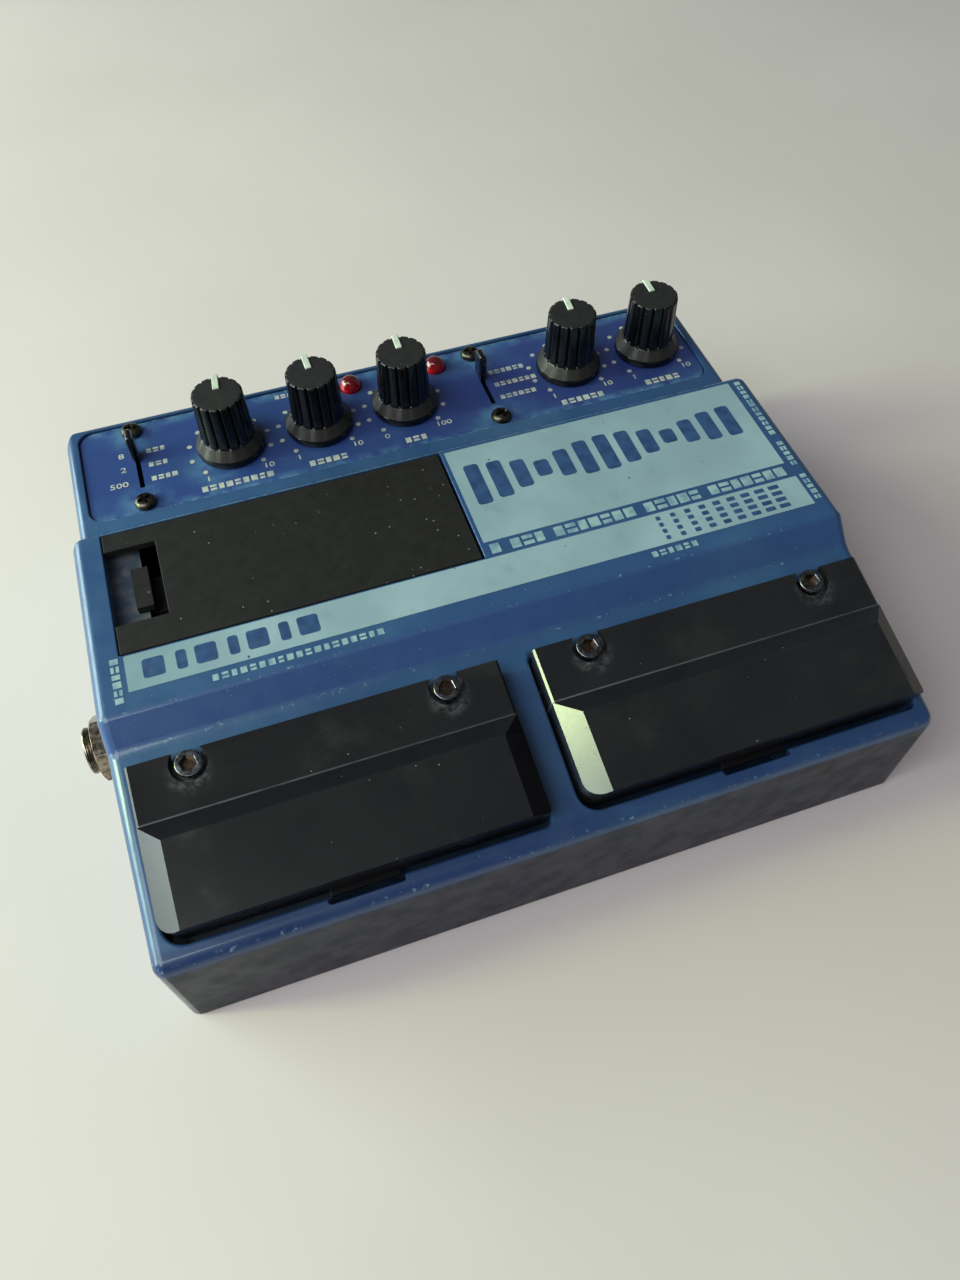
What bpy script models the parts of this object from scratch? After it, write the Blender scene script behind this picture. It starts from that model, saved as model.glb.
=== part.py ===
"""Two-treadle effects pedal: sloped die-cast case, control panel, battery bay, treadles and jacks."""

import math

import bmesh
import bpy
from mathutils import Matrix, Vector

MM = 0.001
GAP = 0.3 * MM

# Case
CASE_W = 184.0 * MM
CASE_D = 145.0 * MM
REAR_X0, REAR_X1 = -90.1 * MM, 87.1 * MM
CASE_BOTTOM = 0.8 * MM
FRONT_Z = 33.4 * MM
BAND_Y, BAND_Z = -26.3 * MM, 44.9 * MM
SLOPE_Y, TOP_Z = -20.0 * MM, 50.3 * MM
STEP_Y = 33.4 * MM
REAR_Z = 49.0 * MM
WALL = 2.4 * MM
EDGE_R = 2.8 * MM
REAR_CORNER_R = 5.5 * MM
RIM_SLOPE = (BAND_Z - FRONT_Z) / (CASE_D / 2 + BAND_Y)
WELL_IN, WELL_OUT = 3.8 * MM, 88.2 * MM
WELL_FRONT, WELL_REAR = -68.0 * MM, -31.2 * MM
WELL_DEPTH = 10.0 * MM
NOTCH_W, NOTCH_FRONT = 16.9 * MM, -69.5 * MM

# Control panel
PANEL_Z = 47.7 * MM
LABEL_BOTTOM, LABEL_TOP = 48.0 * MM, 48.3 * MM
PANEL_X0, PANEL_X1 = -86.7 * MM, 83.9 * MM
PANEL_FRONT, PANEL_REAR = 38.2 * MM, 71.4 * MM
KNOB_X = [-48.3 * MM, -24.3 * MM, -0.3 * MM, 47.7 * MM, 71.7 * MM]
KNOB_NAMES = ["time", "repeats", "mix", "output", "input"]
KNOB_Y = 54.7 * MM
KNOB_BOTTOM, KNOB_TOP = 48.6 * MM, 66.4 * MM
KNOB_SKIRT_R, KNOB_BODY_R, KNOB_TOP_R = 8.95 * MM, 6.9 * MM, 6.4 * MM
SWITCH_X = [-72.7 * MM, 23.0 * MM]
SWITCH_Y = 54.7 * MM
SWITCH_SCREW_PITCH = 26.6 * MM
SLOT_W, SLOT_HALF = 1.6 * MM, 7.4 * MM
LEVER_Y, LEVER_TOP = 58.5 * MM, 57.0 * MM
LEVER_W, LEVER_HALF = 2.1 * MM, 2.2 * MM
LED_X = [-12.6 * MM, 12.0 * MM]
LED_Y, LED_R = 66.8 * MM, 2.9 * MM

# Battery bay
DOOR_X0, DOOR_X1 = -84.5 * MM, 1.9 * MM
DOOR_Y0, DOOR_Y1 = -4.4 * MM, 32.1 * MM
DOOR_T = 1.9 * MM
LEDGE_Z = 46.0 * MM

# Treadles, drawn level and then tipped about the hinge pin
TREADLE_X = 45.93 * MM
TREADLE_HALF = 41.74 * MM
TREADLE_REAR_Y, TREADLE_REAR_Z = -32.44 * MM, 49.14 * MM
TREADLE_TILT = math.atan(0.2268)
TREADLE_LEN = 36.57 * MM
CREASE = 13.36 * MM
PAD_BEVEL, PAD_RISE = 4.85 * MM, 3.8 * MM
SKIRT = 9.5 * MM
PIN_IN, PIN_DOWN = 7.6 * MM, 9.6 * MM
PIN_R = 1.5 * MM
TREADLE_SCREW_DX, TREADLE_SCREW_IN = 28.8 * MM, 2.9 * MM
FOOTSWITCH_Y = -55.0 * MM

# Jacks on the side walls
JACK_Z = 27.0 * MM
JACKS = [("output_jack", -1, -12.0 * MM), ("input_jack", 1, -12.0 * MM), ("trigger_jack", 1, 9.0 * MM)]
JACK_R, BORE_R = 5.7 * MM, 3.25 * MM
JACK_TIP, NUT_FACE = 99.8 * MM, 97.5 * MM
POWER_Y = 25.5 * MM

SEGMENTS = 32

for obj in list(bpy.data.objects):
    bpy.data.objects.remove(obj, do_unlink=True)

SCENE = bpy.context.scene.collection
PARTS = bpy.data.collections.new("effects_pedal")
CUTTERS = bpy.data.collections.new("cutters")
SCENE.children.link(PARTS)
SCENE.children.link(CUTTERS)


def material(name, colour, roughness, metallic=0.0):
    made = bpy.data.materials.new(name)
    made.use_nodes = True
    shader = made.node_tree.nodes["Principled BSDF"]
    shader.inputs["Base Color"].default_value = (*colour, 1.0)
    shader.inputs["Roughness"].default_value = roughness
    shader.inputs["Metallic"].default_value = metallic
    return made


BLUE = material("blue_paint", (0.045, 0.125, 0.27), 0.45)
LABEL = material("label_ink", (0.03, 0.06, 0.3), 0.4)
BLACK = material("black_satin", (0.017, 0.017, 0.019), 0.4)
CHARCOAL = material("charcoal_plastic", (0.022, 0.022, 0.023), 0.6)
KNOB = material("knob_plastic", (0.012, 0.012, 0.014), 0.25)
STEEL = material("aged_steel", (0.35, 0.32, 0.28), 0.35, 1.0)
CHROME = material("chrome", (0.7, 0.68, 0.65), 0.15, 1.0)
RED = material("red_lens", (0.6, 0.01, 0.02), 0.15)
RUBBER = material("rubber", (0.02, 0.02, 0.02), 0.85)
BOARD = material("green_board", (0.02, 0.16, 0.06), 0.5)
WRAP = material("battery_wrap", (0.12, 0.1, 0.08), 0.4)
PLATE = material("plated_steel", (0.45, 0.45, 0.43), 0.4, 1.0)


def add_box(bm, low, high):
    verts = bmesh.ops.create_cube(bm, size=1.0)["verts"]
    size = [h - l for l, h in zip(low, high)]
    middle = [(l + h) / 2 for l, h in zip(low, high)]
    bmesh.ops.scale(bm, vec=size, verts=verts)
    bmesh.ops.translate(bm, vec=middle, verts=verts)


def add_cylinder(bm, centre, radius, low, high, axis="Z", segments=SEGMENTS, tip=None):
    """A cylinder, or a cone when tip is given, from low to high along the axis, through centre's other two."""
    turn = {"X": Matrix.Rotation(math.pi / 2, 3, "Y"), "Y": Matrix.Rotation(-math.pi / 2, 3, "X")}
    made = bmesh.ops.create_cone(bm, cap_ends=True, segments=segments, radius1=radius,
                                 radius2=radius if tip is None else tip, depth=high - low)
    verts = made["verts"]
    if axis in turn:
        bmesh.ops.rotate(bm, matrix=turn[axis], verts=verts)
    place = {"X": ((low + high) / 2, *centre), "Y": (centre[0], (low + high) / 2, centre[1]),
             "Z": (*centre, (low + high) / 2)}
    bmesh.ops.translate(bm, vec=place[axis], verts=verts)


def add_prism(bm, outline, low, high, axis="X"):
    """The outline of (Y, Z) pairs run along X, or of (X, Y) pairs run along Z."""
    def point(pair, at):
        return (at, *pair) if axis == "X" else (*pair, at)
    first = [bm.verts.new(point(pair, low)) for pair in outline]
    last = [bm.verts.new(point(pair, high)) for pair in outline]
    count = len(outline)
    faces = [bm.faces.new(first), bm.faces.new(last)]
    for i in range(count):
        j = (i + 1) % count
        faces.append(bm.faces.new((first[i], first[j], last[j], last[i])))
    bmesh.ops.recalc_face_normals(bm, faces=faces)


def finish(name, bm, paint=None, at=(0.0, 0.0, 0.0), smooth=None):
    """Makes the mesh an object: a part when it has paint, or else a cutter."""
    mesh = bpy.data.meshes.new(name)
    bmesh.ops.recalc_face_normals(bm, faces=bm.faces)
    bm.to_mesh(mesh)
    bm.free()
    made = bpy.data.objects.new(name, mesh)
    made.location = at
    if paint is None:
        CUTTERS.objects.link(made)
        made.hide_render = True
        made.display_type = "WIRE"
        return made
    PARTS.objects.link(made)
    mesh.materials.append(paint)
    if smooth is not None:
        mesh.shade_smooth()
        mesh.set_sharp_from_angle(angle=math.radians(smooth))
    return made


def turned(name, profile, paint, at, steps=SEGMENTS, smooth=30):
    """Turns a profile of (radius, height) pairs about Z. It starts on the axis, and runs down the outer side."""
    mesh = bpy.data.meshes.get(f"{name.split('_')[0]}_profile")
    if mesh is None:
        mesh = bpy.data.meshes.new(f"{name.split('_')[0]}_profile")
        mesh.from_pydata([(r, 0.0, z) for r, z in profile], [(i, i + 1) for i in range(len(profile) - 1)], [])
        mesh.materials.append(paint)
    made = bpy.data.objects.new(name, mesh)
    made.location = at
    PARTS.objects.link(made)
    screw = made.modifiers.new("turning", "SCREW")
    screw.steps = steps
    screw.render_steps = steps
    screw.use_merge_vertices = True
    screw.merge_threshold = 0.00001
    screw.use_smooth_shade = False
    return made


def boolean(target, other, operation):
    """The case's many holes in one flat face leave gaps under the EXACT solver, so it alone uses MANIFOLD."""
    modifier = target.modifiers.new(f"{operation.lower()} {other.name}", "BOOLEAN")
    modifier.operation = operation
    modifier.solver = "MANIFOLD" if target.name == "enclosure" else "EXACT"
    modifier.object = other


def cut(target, other):
    boolean(target, other, "DIFFERENCE")


def join(target, other):
    boolean(target, other, "UNION")


def bevel(target, width, segments, angle=None):
    modifier = target.modifiers.new("rounding", "BEVEL")
    modifier.width = width
    modifier.segments = segments
    if angle is None:
        modifier.limit_method = "WEIGHT"
    else:
        modifier.limit_method = "ANGLE"
        modifier.angle_limit = math.radians(angle)


def weigh_edges(bm, rule):
    """Bevel weights from a rule on each edge's two ends."""
    layer = bm.edges.layers.float.new("bevel_weight_edge")
    for edge in bm.edges:
        edge[layer] = rule(*[vert.co for vert in edge.verts])


def upright(a, b):
    return abs(a.x - b.x) < GAP and abs(a.y - b.y) < GAP


def rim_z(y):
    return FRONT_Z + (y + CASE_D / 2) * RIM_SLOPE


# Case: front and middle block, with the narrower rear block behind it
BELOW = -8 * MM
HALF_W, HALF_D = CASE_W / 2, CASE_D / 2
CEILING = TOP_Z - WALL
bm = bmesh.new()
add_prism(bm, [(-HALF_D, BELOW), (-HALF_D, FRONT_Z), (BAND_Y, BAND_Z), (SLOPE_Y, TOP_Z), (STEP_Y, TOP_Z),
               (STEP_Y, BELOW)], -HALF_W, HALF_W)


def front_rule(a, b):
    if max(a.z, b.z) < 0:
        return 0.0
    if upright(a, b):
        return 1.0
    if abs(a.y - b.y) > GAP:
        return 1.0
    return {FRONT_Z: 1.0, BAND_Z: 0.0, TOP_Z: 0.35}[min((FRONT_Z, BAND_Z, TOP_Z), key=lambda z: abs(z - a.z))]


weigh_edges(bm, front_rule)
enclosure = finish("enclosure", bm, BLUE, smooth=35)
bevel(enclosure, EDGE_R, 4)

bm = bmesh.new()
add_box(bm, (REAR_X0, STEP_Y - 10 * MM, BELOW), (REAR_X1, HALF_D, REAR_Z))


def rear_rule(a, b):
    if max(a.z, b.z) < 0 or min(a.y, b.y) < STEP_Y and max(a.y, b.y) < STEP_Y:
        return 0.0
    if upright(a, b):
        return 1.0
    return 0.12 if abs(a.y - b.y) < GAP else 0.42


weigh_edges(bm, rear_rule)
rear_block = finish("rear_block", bm)
bevel(rear_block, REAR_CORNER_R, 5)
join(enclosure, rear_block)

# Hollow inside and open underneath
bm = bmesh.new()
inner_front, inner_rear = -HALF_D + WALL, STEP_Y - WALL
add_prism(bm, [(inner_front, 3 * BELOW), (inner_front, rim_z(inner_front) - WELL_DEPTH - WALL),
               (WELL_REAR + WALL, rim_z(WELL_REAR + WALL) - WELL_DEPTH - WALL),
               (WELL_REAR + WALL, rim_z(WELL_REAR + WALL) - WALL), (-25.4 * MM, 42.5 * MM),
               (-19.1 * MM, CEILING), (inner_rear, CEILING), (inner_rear, 3 * BELOW)],
          -HALF_W + WALL, HALF_W - WALL)
cavity = finish("cavity", bm)
bm = bmesh.new()
add_box(bm, (REAR_X0 + WALL, inner_rear - 1 * MM, 3 * BELOW), (REAR_X1 - WALL, HALF_D - WALL, 45 * MM))
rear_cavity = finish("rear_cavity", bm)
bm = bmesh.new()
add_box(bm, (-HALF_W * 2, -HALF_D * 2, 3.5 * BELOW), (HALF_W * 2, HALF_D * 2, CASE_BOTTOM))
base_trim = finish("base_trim", bm)
cut(enclosure, cavity)
cut(enclosure, rear_cavity)
cut(enclosure, base_trim)

# Treadle wells with a notch in the front rim of each, and the plungers' and hinge pins' holes
cos_t, sin_t = math.cos(TREADLE_TILT), math.sin(TREADLE_TILT)
PIN_Y = TREADLE_REAR_Y - PIN_IN * cos_t + PIN_DOWN * sin_t
PIN_Z = TREADLE_REAR_Z - PIN_IN * sin_t - PIN_DOWN * cos_t
bm = bmesh.new()
for side in (-1, 1):
    low, high = sorted((side * WELL_IN, side * WELL_OUT))
    add_prism(bm, [(WELL_FRONT, rim_z(WELL_FRONT) - WELL_DEPTH), (WELL_FRONT, 60 * MM), (WELL_REAR, 60 * MM),
                   (WELL_REAR, rim_z(WELL_REAR) - WELL_DEPTH)], low, high)
well_cutter = finish("well_cutter", bm)
weights = bmesh.new()
weights.from_mesh(well_cutter.data)
weigh_edges(weights, lambda a, b: 1.0 if upright(a, b) and a.y < -50 * MM else 0.0)
weights.to_mesh(well_cutter.data)
weights.free()
bevel(well_cutter, 4.6 * MM, 4)
cut(enclosure, well_cutter)
bm = bmesh.new()
for side in (-1, 1):
    middle = side * TREADLE_X
    add_box(bm, (middle - NOTCH_W / 2, NOTCH_FRONT, rim_z(WELL_FRONT) - WELL_DEPTH + GAP),
            (middle + NOTCH_W / 2, WELL_FRONT + 1 * MM, 60 * MM))
notch_cutter = finish("notch_cutter", bm)
cut(enclosure, notch_cutter)
bm = bmesh.new()
for side in (-1, 1):
    low, high = sorted((side * 1.9 * MM, side * 90.3 * MM))
    add_cylinder(bm, (PIN_Y, PIN_Z), PIN_R + 0.1 * MM, low, high, "X", 20)
    add_cylinder(bm, (side * TREADLE_X, FOOTSWITCH_Y), 3.4 * MM, 10 * MM, 32 * MM, "Z", 20)
pin_cutter = finish("pin_cutter", bm)
cut(enclosure, pin_cutter)

# Frame round the battery opening, the door's seat, the ledge under the finger notch, and four screw posts
bm = bmesh.new()
add_box(bm, (DOOR_X0 - 2 * MM, DOOR_Y0 - 2 * MM, 44.5 * MM), (DOOR_X1 + 2 * MM, DOOR_Y1 + 1.6 * MM, 48.6 * MM))
POSTS = [(-82 * MM, -63 * MM), (82 * MM, -63 * MM), (-80.4 * MM, 65.4 * MM), (80.4 * MM, 65.4 * MM)]
for x, y in POSTS:
    add_cylinder(bm, (x, y), 3.8 * MM, 3.6 * MM, 46 * MM if y > 0 else 24.5 * MM, "Z", 20)
frame_block = finish("frame_block", bm)
join(enclosure, frame_block)
bm = bmesh.new()
add_box(bm, (DOOR_X0 - GAP, DOOR_Y0 - GAP, TOP_Z - DOOR_T - GAP), (DOOR_X1 + 0.6 * MM, DOOR_Y1 + GAP, 60 * MM))
seat_cutter = finish("seat_cutter", bm)
bm = bmesh.new()
add_box(bm, (-77 * MM, DOOR_Y0 + 1.2 * MM, 40 * MM), (DOOR_X1 + 0.6 * MM, DOOR_Y1 - 1.2 * MM, 58 * MM))
bay_cutter = finish("bay_cutter", bm)
bm = bmesh.new()
add_box(bm, (-2.0 * MM, DOOR_Y0 - GAP, 46.9 * MM), (DOOR_X1 + 0.6 * MM, DOOR_Y1 + GAP, 58.5 * MM))
hinge_relief = finish("hinge_relief", bm)
bm = bmesh.new()
add_box(bm, (DOOR_X0 - GAP / 2, 2.0 * MM, LEDGE_Z), (-70 * MM, 28.5 * MM, 56 * MM))
ledge_cutter = finish("ledge_cutter", bm)
for cutter in (seat_cutter, bay_cutter, hinge_relief, ledge_cutter):
    cut(enclosure, cutter)

# Recess of the control panel, then every hole through the case
bm = bmesh.new()
add_box(bm, (PANEL_X0, PANEL_FRONT, PANEL_Z), (PANEL_X1, PANEL_REAR, 60 * MM))
weigh_edges(bm, lambda a, b: 1.0 if upright(a, b) else 0.0)
recess_cutter = finish("recess_cutter", bm)
bevel(recess_cutter, 4.2 * MM, 4)
cut(enclosure, recess_cutter)


def panel_holes(bm, grow, slot_w, low, high):
    for x in KNOB_X:
        add_cylinder(bm, (x, KNOB_Y), 4.7 * MM + grow, low, high, "Z", 24)
    for x in LED_X:
        add_cylinder(bm, (x, LED_Y), LED_R + 0.15 * MM + grow, low, high, "Z", 24)
    for x in SWITCH_X:
        add_box(bm, (x - slot_w / 2, SWITCH_Y - SLOT_HALF, low), (x + slot_w / 2, SWITCH_Y + SLOT_HALF, high))
        for side in (-1, 1):
            add_cylinder(bm, (x, SWITCH_Y + side * SWITCH_SCREW_PITCH / 2), 1.6 * MM, low, high, "Z", 16)


bm = bmesh.new()
panel_holes(bm, 0.0, SLOT_W, 40 * MM, 56 * MM)
for x, y in POSTS:
    add_cylinder(bm, (x, y), 1.5 * MM, 0.0, 16 * MM, "Z", 16)
for _, side, y in JACKS:
    add_cylinder(bm, (y, JACK_Z), JACK_R + GAP, *sorted((side * 84 * MM, side * 110 * MM)), "X")
add_cylinder(bm, (POWER_Y, JACK_Z), 5.6 * MM, 84 * MM, 110 * MM, "X")
hole_cutter = finish("hole_cutter", bm)
cut(enclosure, hole_cutter)

# Printed label lying in the recess
bm = bmesh.new()
add_box(bm, (PANEL_X0 + GAP, PANEL_FRONT + GAP, LABEL_BOTTOM), (PANEL_X1 - GAP, PANEL_REAR - GAP, LABEL_TOP))
weigh_edges(bm, lambda a, b: 1.0 if upright(a, b) else 0.0)
label = finish("control_label", bm, LABEL)
bevel(label, 4.0 * MM, 4)
bm = bmesh.new()
panel_holes(bm, 0.15 * MM, SLOT_W - GAP, 40 * MM, 56 * MM)
label_cutter = finish("label_cutter", bm)
cut(label, label_cutter)

# Knobs, their shafts and the potentiometers behind the panel
HEIGHT = KNOB_TOP - KNOB_BOTTOM
SHAFT_TOP = 13.2 * MM
knob_profile = [(0.0, HEIGHT), (KNOB_TOP_R - 0.4 * MM, HEIGHT), (KNOB_TOP_R, HEIGHT - 0.4 * MM),
                (KNOB_BODY_R, 5.0 * MM), (7.3 * MM, 4.6 * MM), (KNOB_SKIRT_R, 2.0 * MM), (KNOB_SKIRT_R, 0.0),
                (6.6 * MM, 0.0), (6.6 * MM, 3.4 * MM), (3.3 * MM, 3.4 * MM),
                (3.3 * MM, SHAFT_TOP + GAP), (0.0, SHAFT_TOP + GAP)]
can_top, can_bottom, bush_top = -6.2 * MM, -15.2 * MM, 2.9 * MM
pot_profile = [(0.0, -11.2 * MM), (3.3 * MM, -11.2 * MM), (3.3 * MM, bush_top), (4.4 * MM, bush_top),
               (4.4 * MM, can_top), (8.5 * MM, can_top), (8.5 * MM, can_bottom), (0.0, can_bottom)]
shaft_profile = [(0.0, SHAFT_TOP), (3.0 * MM, SHAFT_TOP), (3.0 * MM, -10.9 * MM), (0.0, -10.9 * MM)]
bm = bmesh.new()
add_box(bm, (-0.8 * MM, 1.2 * MM, 14.8 * MM), (0.8 * MM, 6.75 * MM, HEIGHT + 0.35 * MM))
pointer = finish("knob_pointer", bm)
bm = bmesh.new()
for i in range(16):
    angle = (i + 0.5) * math.tau / 16
    add_cylinder(bm, (7.35 * MM * math.cos(angle), 7.35 * MM * math.sin(angle)), 0.85 * MM,
                 5.6 * MM, 20 * MM, "Z", 8)
flutes = finish("knob_flutes", bm)
for name, x in zip(KNOB_NAMES, KNOB_X):
    at = (x, KNOB_Y, KNOB_BOTTOM)
    knob = turned(f"knob_{name}", knob_profile, KNOB, at)
    for tool, action in ((flutes, cut), (pointer, join)):
        mine = bpy.data.objects.new(f"{tool.name}_{name}", tool.data)
        mine.location = at
        mine.hide_render = True
        mine.display_type = "WIRE"
        CUTTERS.objects.link(mine)
        action(knob, mine)
    turned(f"pot_{name}", pot_profile, PLATE, at, 24)
    turned(f"shaft_{name}", shaft_profile, PLATE, at, 24)

# LEDs standing through the panel
led_profile = [(0.0, LED_R + 0.3 * MM)]
led_profile += [(LED_R * math.sin(a), 0.3 * MM + LED_R * math.cos(a))
                for a in (math.radians(d) for d in (18, 36, 54, 72, 90))]
led_profile += [(LED_R, -5.0 * MM), (0.0, -5.0 * MM)]
for i, x in enumerate(LED_X):
    turned(f"led_{i + 1}", led_profile, RED, (x, LED_Y, LABEL_TOP), 24)

# Slide switches: the body under the panel, its lever and the two screws of each
for name, x in zip(("left", "right"), SWITCH_X):
    bm = bmesh.new()
    add_box(bm, (-3.6 * MM, -15.1 * MM, 43.3 * MM), (3.6 * MM, 15.1 * MM, 44.6 * MM))
    body = finish(f"switch_body_{name}", bm, PLATE, (x, SWITCH_Y, 0.0))
    bm = bmesh.new()
    add_box(bm, (-3.5 * MM, -10 * MM, 34 * MM), (3.5 * MM, 10 * MM, 44 * MM))
    block = finish(f"switch_block_{name}", bm, at=(x, SWITCH_Y, 0.0))
    join(body, block)
    bm = bmesh.new()
    add_box(bm, (-0.9 * MM, -8.6 * MM, 36.5 * MM), (0.9 * MM, 8.6 * MM, 50 * MM))
    for side in (-1, 1):
        add_cylinder(bm, (0.0, side * SWITCH_SCREW_PITCH / 2), 1.4 * MM, 40 * MM, 50 * MM, "Z", 16)
    slot = finish(f"switch_slot_{name}", bm, at=(x, SWITCH_Y, 0.0))
    cut(body, slot)
    bm = bmesh.new()
    add_box(bm, (-0.4 * MM, -1.8 * MM, 37.2 * MM), (0.4 * MM, 1.8 * MM, 49.2 * MM))
    lever = finish(f"lever_{name}", bm, BLACK, (x, LEVER_Y, 0.0))
    bm = bmesh.new()
    add_box(bm, (-LEVER_W / 2, -LEVER_HALF, LABEL_TOP + GAP), (LEVER_W / 2, LEVER_HALF, LEVER_TOP))
    weigh_edges(bm, lambda a, b: 1.0 if a.z > 50 * MM and b.z > 50 * MM and abs(a.y - b.y) < GAP else 0.0)
    paddle = finish(f"lever_paddle_{name}", bm, at=(x, LEVER_Y, 0.0))
    bevel(paddle, 1.5 * MM, 4)
    join(lever, paddle)
    for side, end in ((-1, "front"), (1, "rear")):
        at = (x, SWITCH_Y + side * SWITCH_SCREW_PITCH / 2, LABEL_TOP + GAP)
        screw_profile = [(0.0, 0.9 * MM), (0.9 * MM, 0.9 * MM), (0.9 * MM, 1.85 * MM), (1.7 * MM, 1.75 * MM),
                         (2.45 * MM, 1.2 * MM), (2.75 * MM, 0.5 * MM), (2.75 * MM, 0.0), (1.2 * MM, 0.0),
                         (1.2 * MM, -6.0 * MM), (0.0, -6.0 * MM)]
        turned(f"panscrew_{name}_{end}", screw_profile, STEEL, at, 20)

# Treadles: a plate with a raised, bevelled pad, a skirt below and a solid bar at the rear for the pin
for side, name in ((-1, "left"), (1, "right")):
    turn = (TREADLE_TILT, 0.0, 0.0)
    at = (side * TREADLE_X, PIN_Y, PIN_Z)
    half, bar = TREADLE_HALF, PIN_IN + 4.6 * MM

    def treadle_part(name, bm, paint=None):
        bmesh.ops.translate(bm, vec=(0.0, PIN_IN, PIN_DOWN), verts=bm.verts)
        made = finish(name, bm, paint, at, 30 if paint else None)
        made.rotation_euler = turn
        return made

    bm = bmesh.new()
    add_prism(bm, [(0.0, 0.0), (-3.2 * MM, -PIN_DOWN - 3.0 * MM), (-bar, -PIN_DOWN - 3.0 * MM),
                   (-bar - 1 * MM, -SKIRT), (-TREADLE_LEN, -SKIRT), (-TREADLE_LEN, 0.0)], -half, half)
    treadle = treadle_part(f"treadle_{name}", bm, BLACK)
    bm = bmesh.new()
    inner = half - PAD_BEVEL
    low = [bm.verts.new((x, y, -0.5 * MM)) for x, y in ((-half - 0.63 * MM, -CREASE + 0.63 * MM),
           (half + 0.63 * MM, -CREASE + 0.63 * MM), (half + 0.63 * MM, -TREADLE_LEN - 1 * MM),
           (-half - 0.63 * MM, -TREADLE_LEN - 1 * MM))]
    high = [bm.verts.new((x, y, PAD_RISE)) for x, y in ((-inner, -CREASE - PAD_BEVEL),
            (inner, -CREASE - PAD_BEVEL), (inner, -TREADLE_LEN - 1 * MM), (-inner, -TREADLE_LEN - 1 * MM))]
    bm.faces.new(low)
    bm.faces.new(high)
    for i in range(4):
        bm.faces.new((low[i], low[(i + 1) % 4], high[(i + 1) % 4], high[i]))
    join(treadle, treadle_part(f"pad_{name}", bm))
    bm = bmesh.new()
    add_box(bm, (-half, -TREADLE_LEN, -30 * MM), (half, 10 * MM, 10 * MM))
    weigh_edges(bm, lambda a, b: 1.0 if upright(a, b) and a.y < -10 * MM else 0.0)
    outline = treadle_part(f"outline_{name}", bm)
    bevel(outline, 4.2 * MM, 5)
    boolean(treadle, outline, "INTERSECT")
    bm = bmesh.new()
    add_box(bm, (-half + 2 * MM, -TREADLE_LEN + 2 * MM, -30 * MM), (half - 2 * MM, -bar, -2.2 * MM))
    cut(treadle, treadle_part(f"hollow_{name}", bm))
    bm = bmesh.new()
    add_box(bm, (-7.7 * MM, -TREADLE_LEN - 1.3 * MM, -SKIRT), (7.7 * MM, -TREADLE_LEN + 1 * MM, -7.2 * MM))
    join(treadle, treadle_part(f"tongue_{name}", bm))
    bm = bmesh.new()
    add_cylinder(bm, (-PIN_IN, -PIN_DOWN), PIN_R + 0.1 * MM, -60 * MM, 60 * MM, "X", 20)
    for dx in (-TREADLE_SCREW_DX, TREADLE_SCREW_DX):
        add_cylinder(bm, (dx, -TREADLE_SCREW_IN), 2.0 * MM, -7.6 * MM, -1 * MM, "Z", 20)
    cut(treadle, treadle_part(f"bores_{name}", bm))
    bm = bmesh.new()
    for dx in (-TREADLE_SCREW_DX, TREADLE_SCREW_DX):
        add_cylinder(bm, (dx, -TREADLE_SCREW_IN), 4.2 * MM, -2.6 * MM, 5 * MM, "Z", 24)
    cut(treadle, treadle_part(f"dimples_{name}", bm))
    bm = bmesh.new()
    add_cylinder(bm, (0.0, 0.0), PIN_R, -43.6 * MM, 43.6 * MM, "X", 20)
    pin = finish(f"hinge_pin_{name}", bm, PLATE, at, 30)
    for dx, end in ((-TREADLE_SCREW_DX, "outer" if side < 0 else "inner"),
                    (TREADLE_SCREW_DX, "inner" if side < 0 else "outer")):
        bm = bmesh.new()
        add_cylinder(bm, (0.0, 0.0), 3.3 * MM, -2.3 * MM, -0.2 * MM, "Z", 24)
        offset = Matrix.Rotation(TREADLE_TILT, 3, "X") @ Vector((0.0, PIN_IN - TREADLE_SCREW_IN, PIN_DOWN))
        spot = (side * TREADLE_X + dx, PIN_Y + offset.y, PIN_Z + offset.z)
        screw = finish(f"capscrew_{name}_{end}", bm, STEEL, spot, 30)
        screw.rotation_euler = turn
        bm = bmesh.new()
        add_cylinder(bm, (0.0, 0.0), 1.8 * MM, -7.2 * MM, -2.0 * MM, "Z", 20)
        shank = finish(f"capscrew_shank_{name}_{end}", bm, at=spot)
        shank.rotation_euler = turn
        join(screw, shank)
        bm = bmesh.new()
        add_cylinder(bm, (0.0, 0.0), 1.9 * MM, -1.7 * MM, 1 * MM, "Z", 6)
        socket = finish(f"capscrew_socket_{name}_{end}", bm, at=spot)
        socket.rotation_euler = turn
        cut(screw, socket)
    # Footswitch under the well with its plunger reaching up to the treadle
    plunger_top = 40.9 * MM
    bm = bmesh.new()
    add_box(bm, (-7 * MM, -7 * MM, 10.6 * MM), (7 * MM, 7 * MM, 22.6 * MM))
    body = finish(f"footswitch_{name}", bm, CHARCOAL, (side * TREADLE_X, FOOTSWITCH_Y, 0.0))
    bm = bmesh.new()
    add_cylinder(bm, (0.0, 0.0), 2.9 * MM, 16 * MM, 40 * MM, "Z", 24)
    cut(body, finish(f"footswitch_bore_{name}", bm, at=(side * TREADLE_X, FOOTSWITCH_Y, 0.0)))
    bm = bmesh.new()
    add_cylinder(bm, (0.0, 0.0), 2.6 * MM, 18.4 * MM, plunger_top, "Z", 24)
    finish(f"plunger_{name}", bm, PLATE, (side * TREADLE_X, FOOTSWITCH_Y, 0.0), 30)

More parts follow.
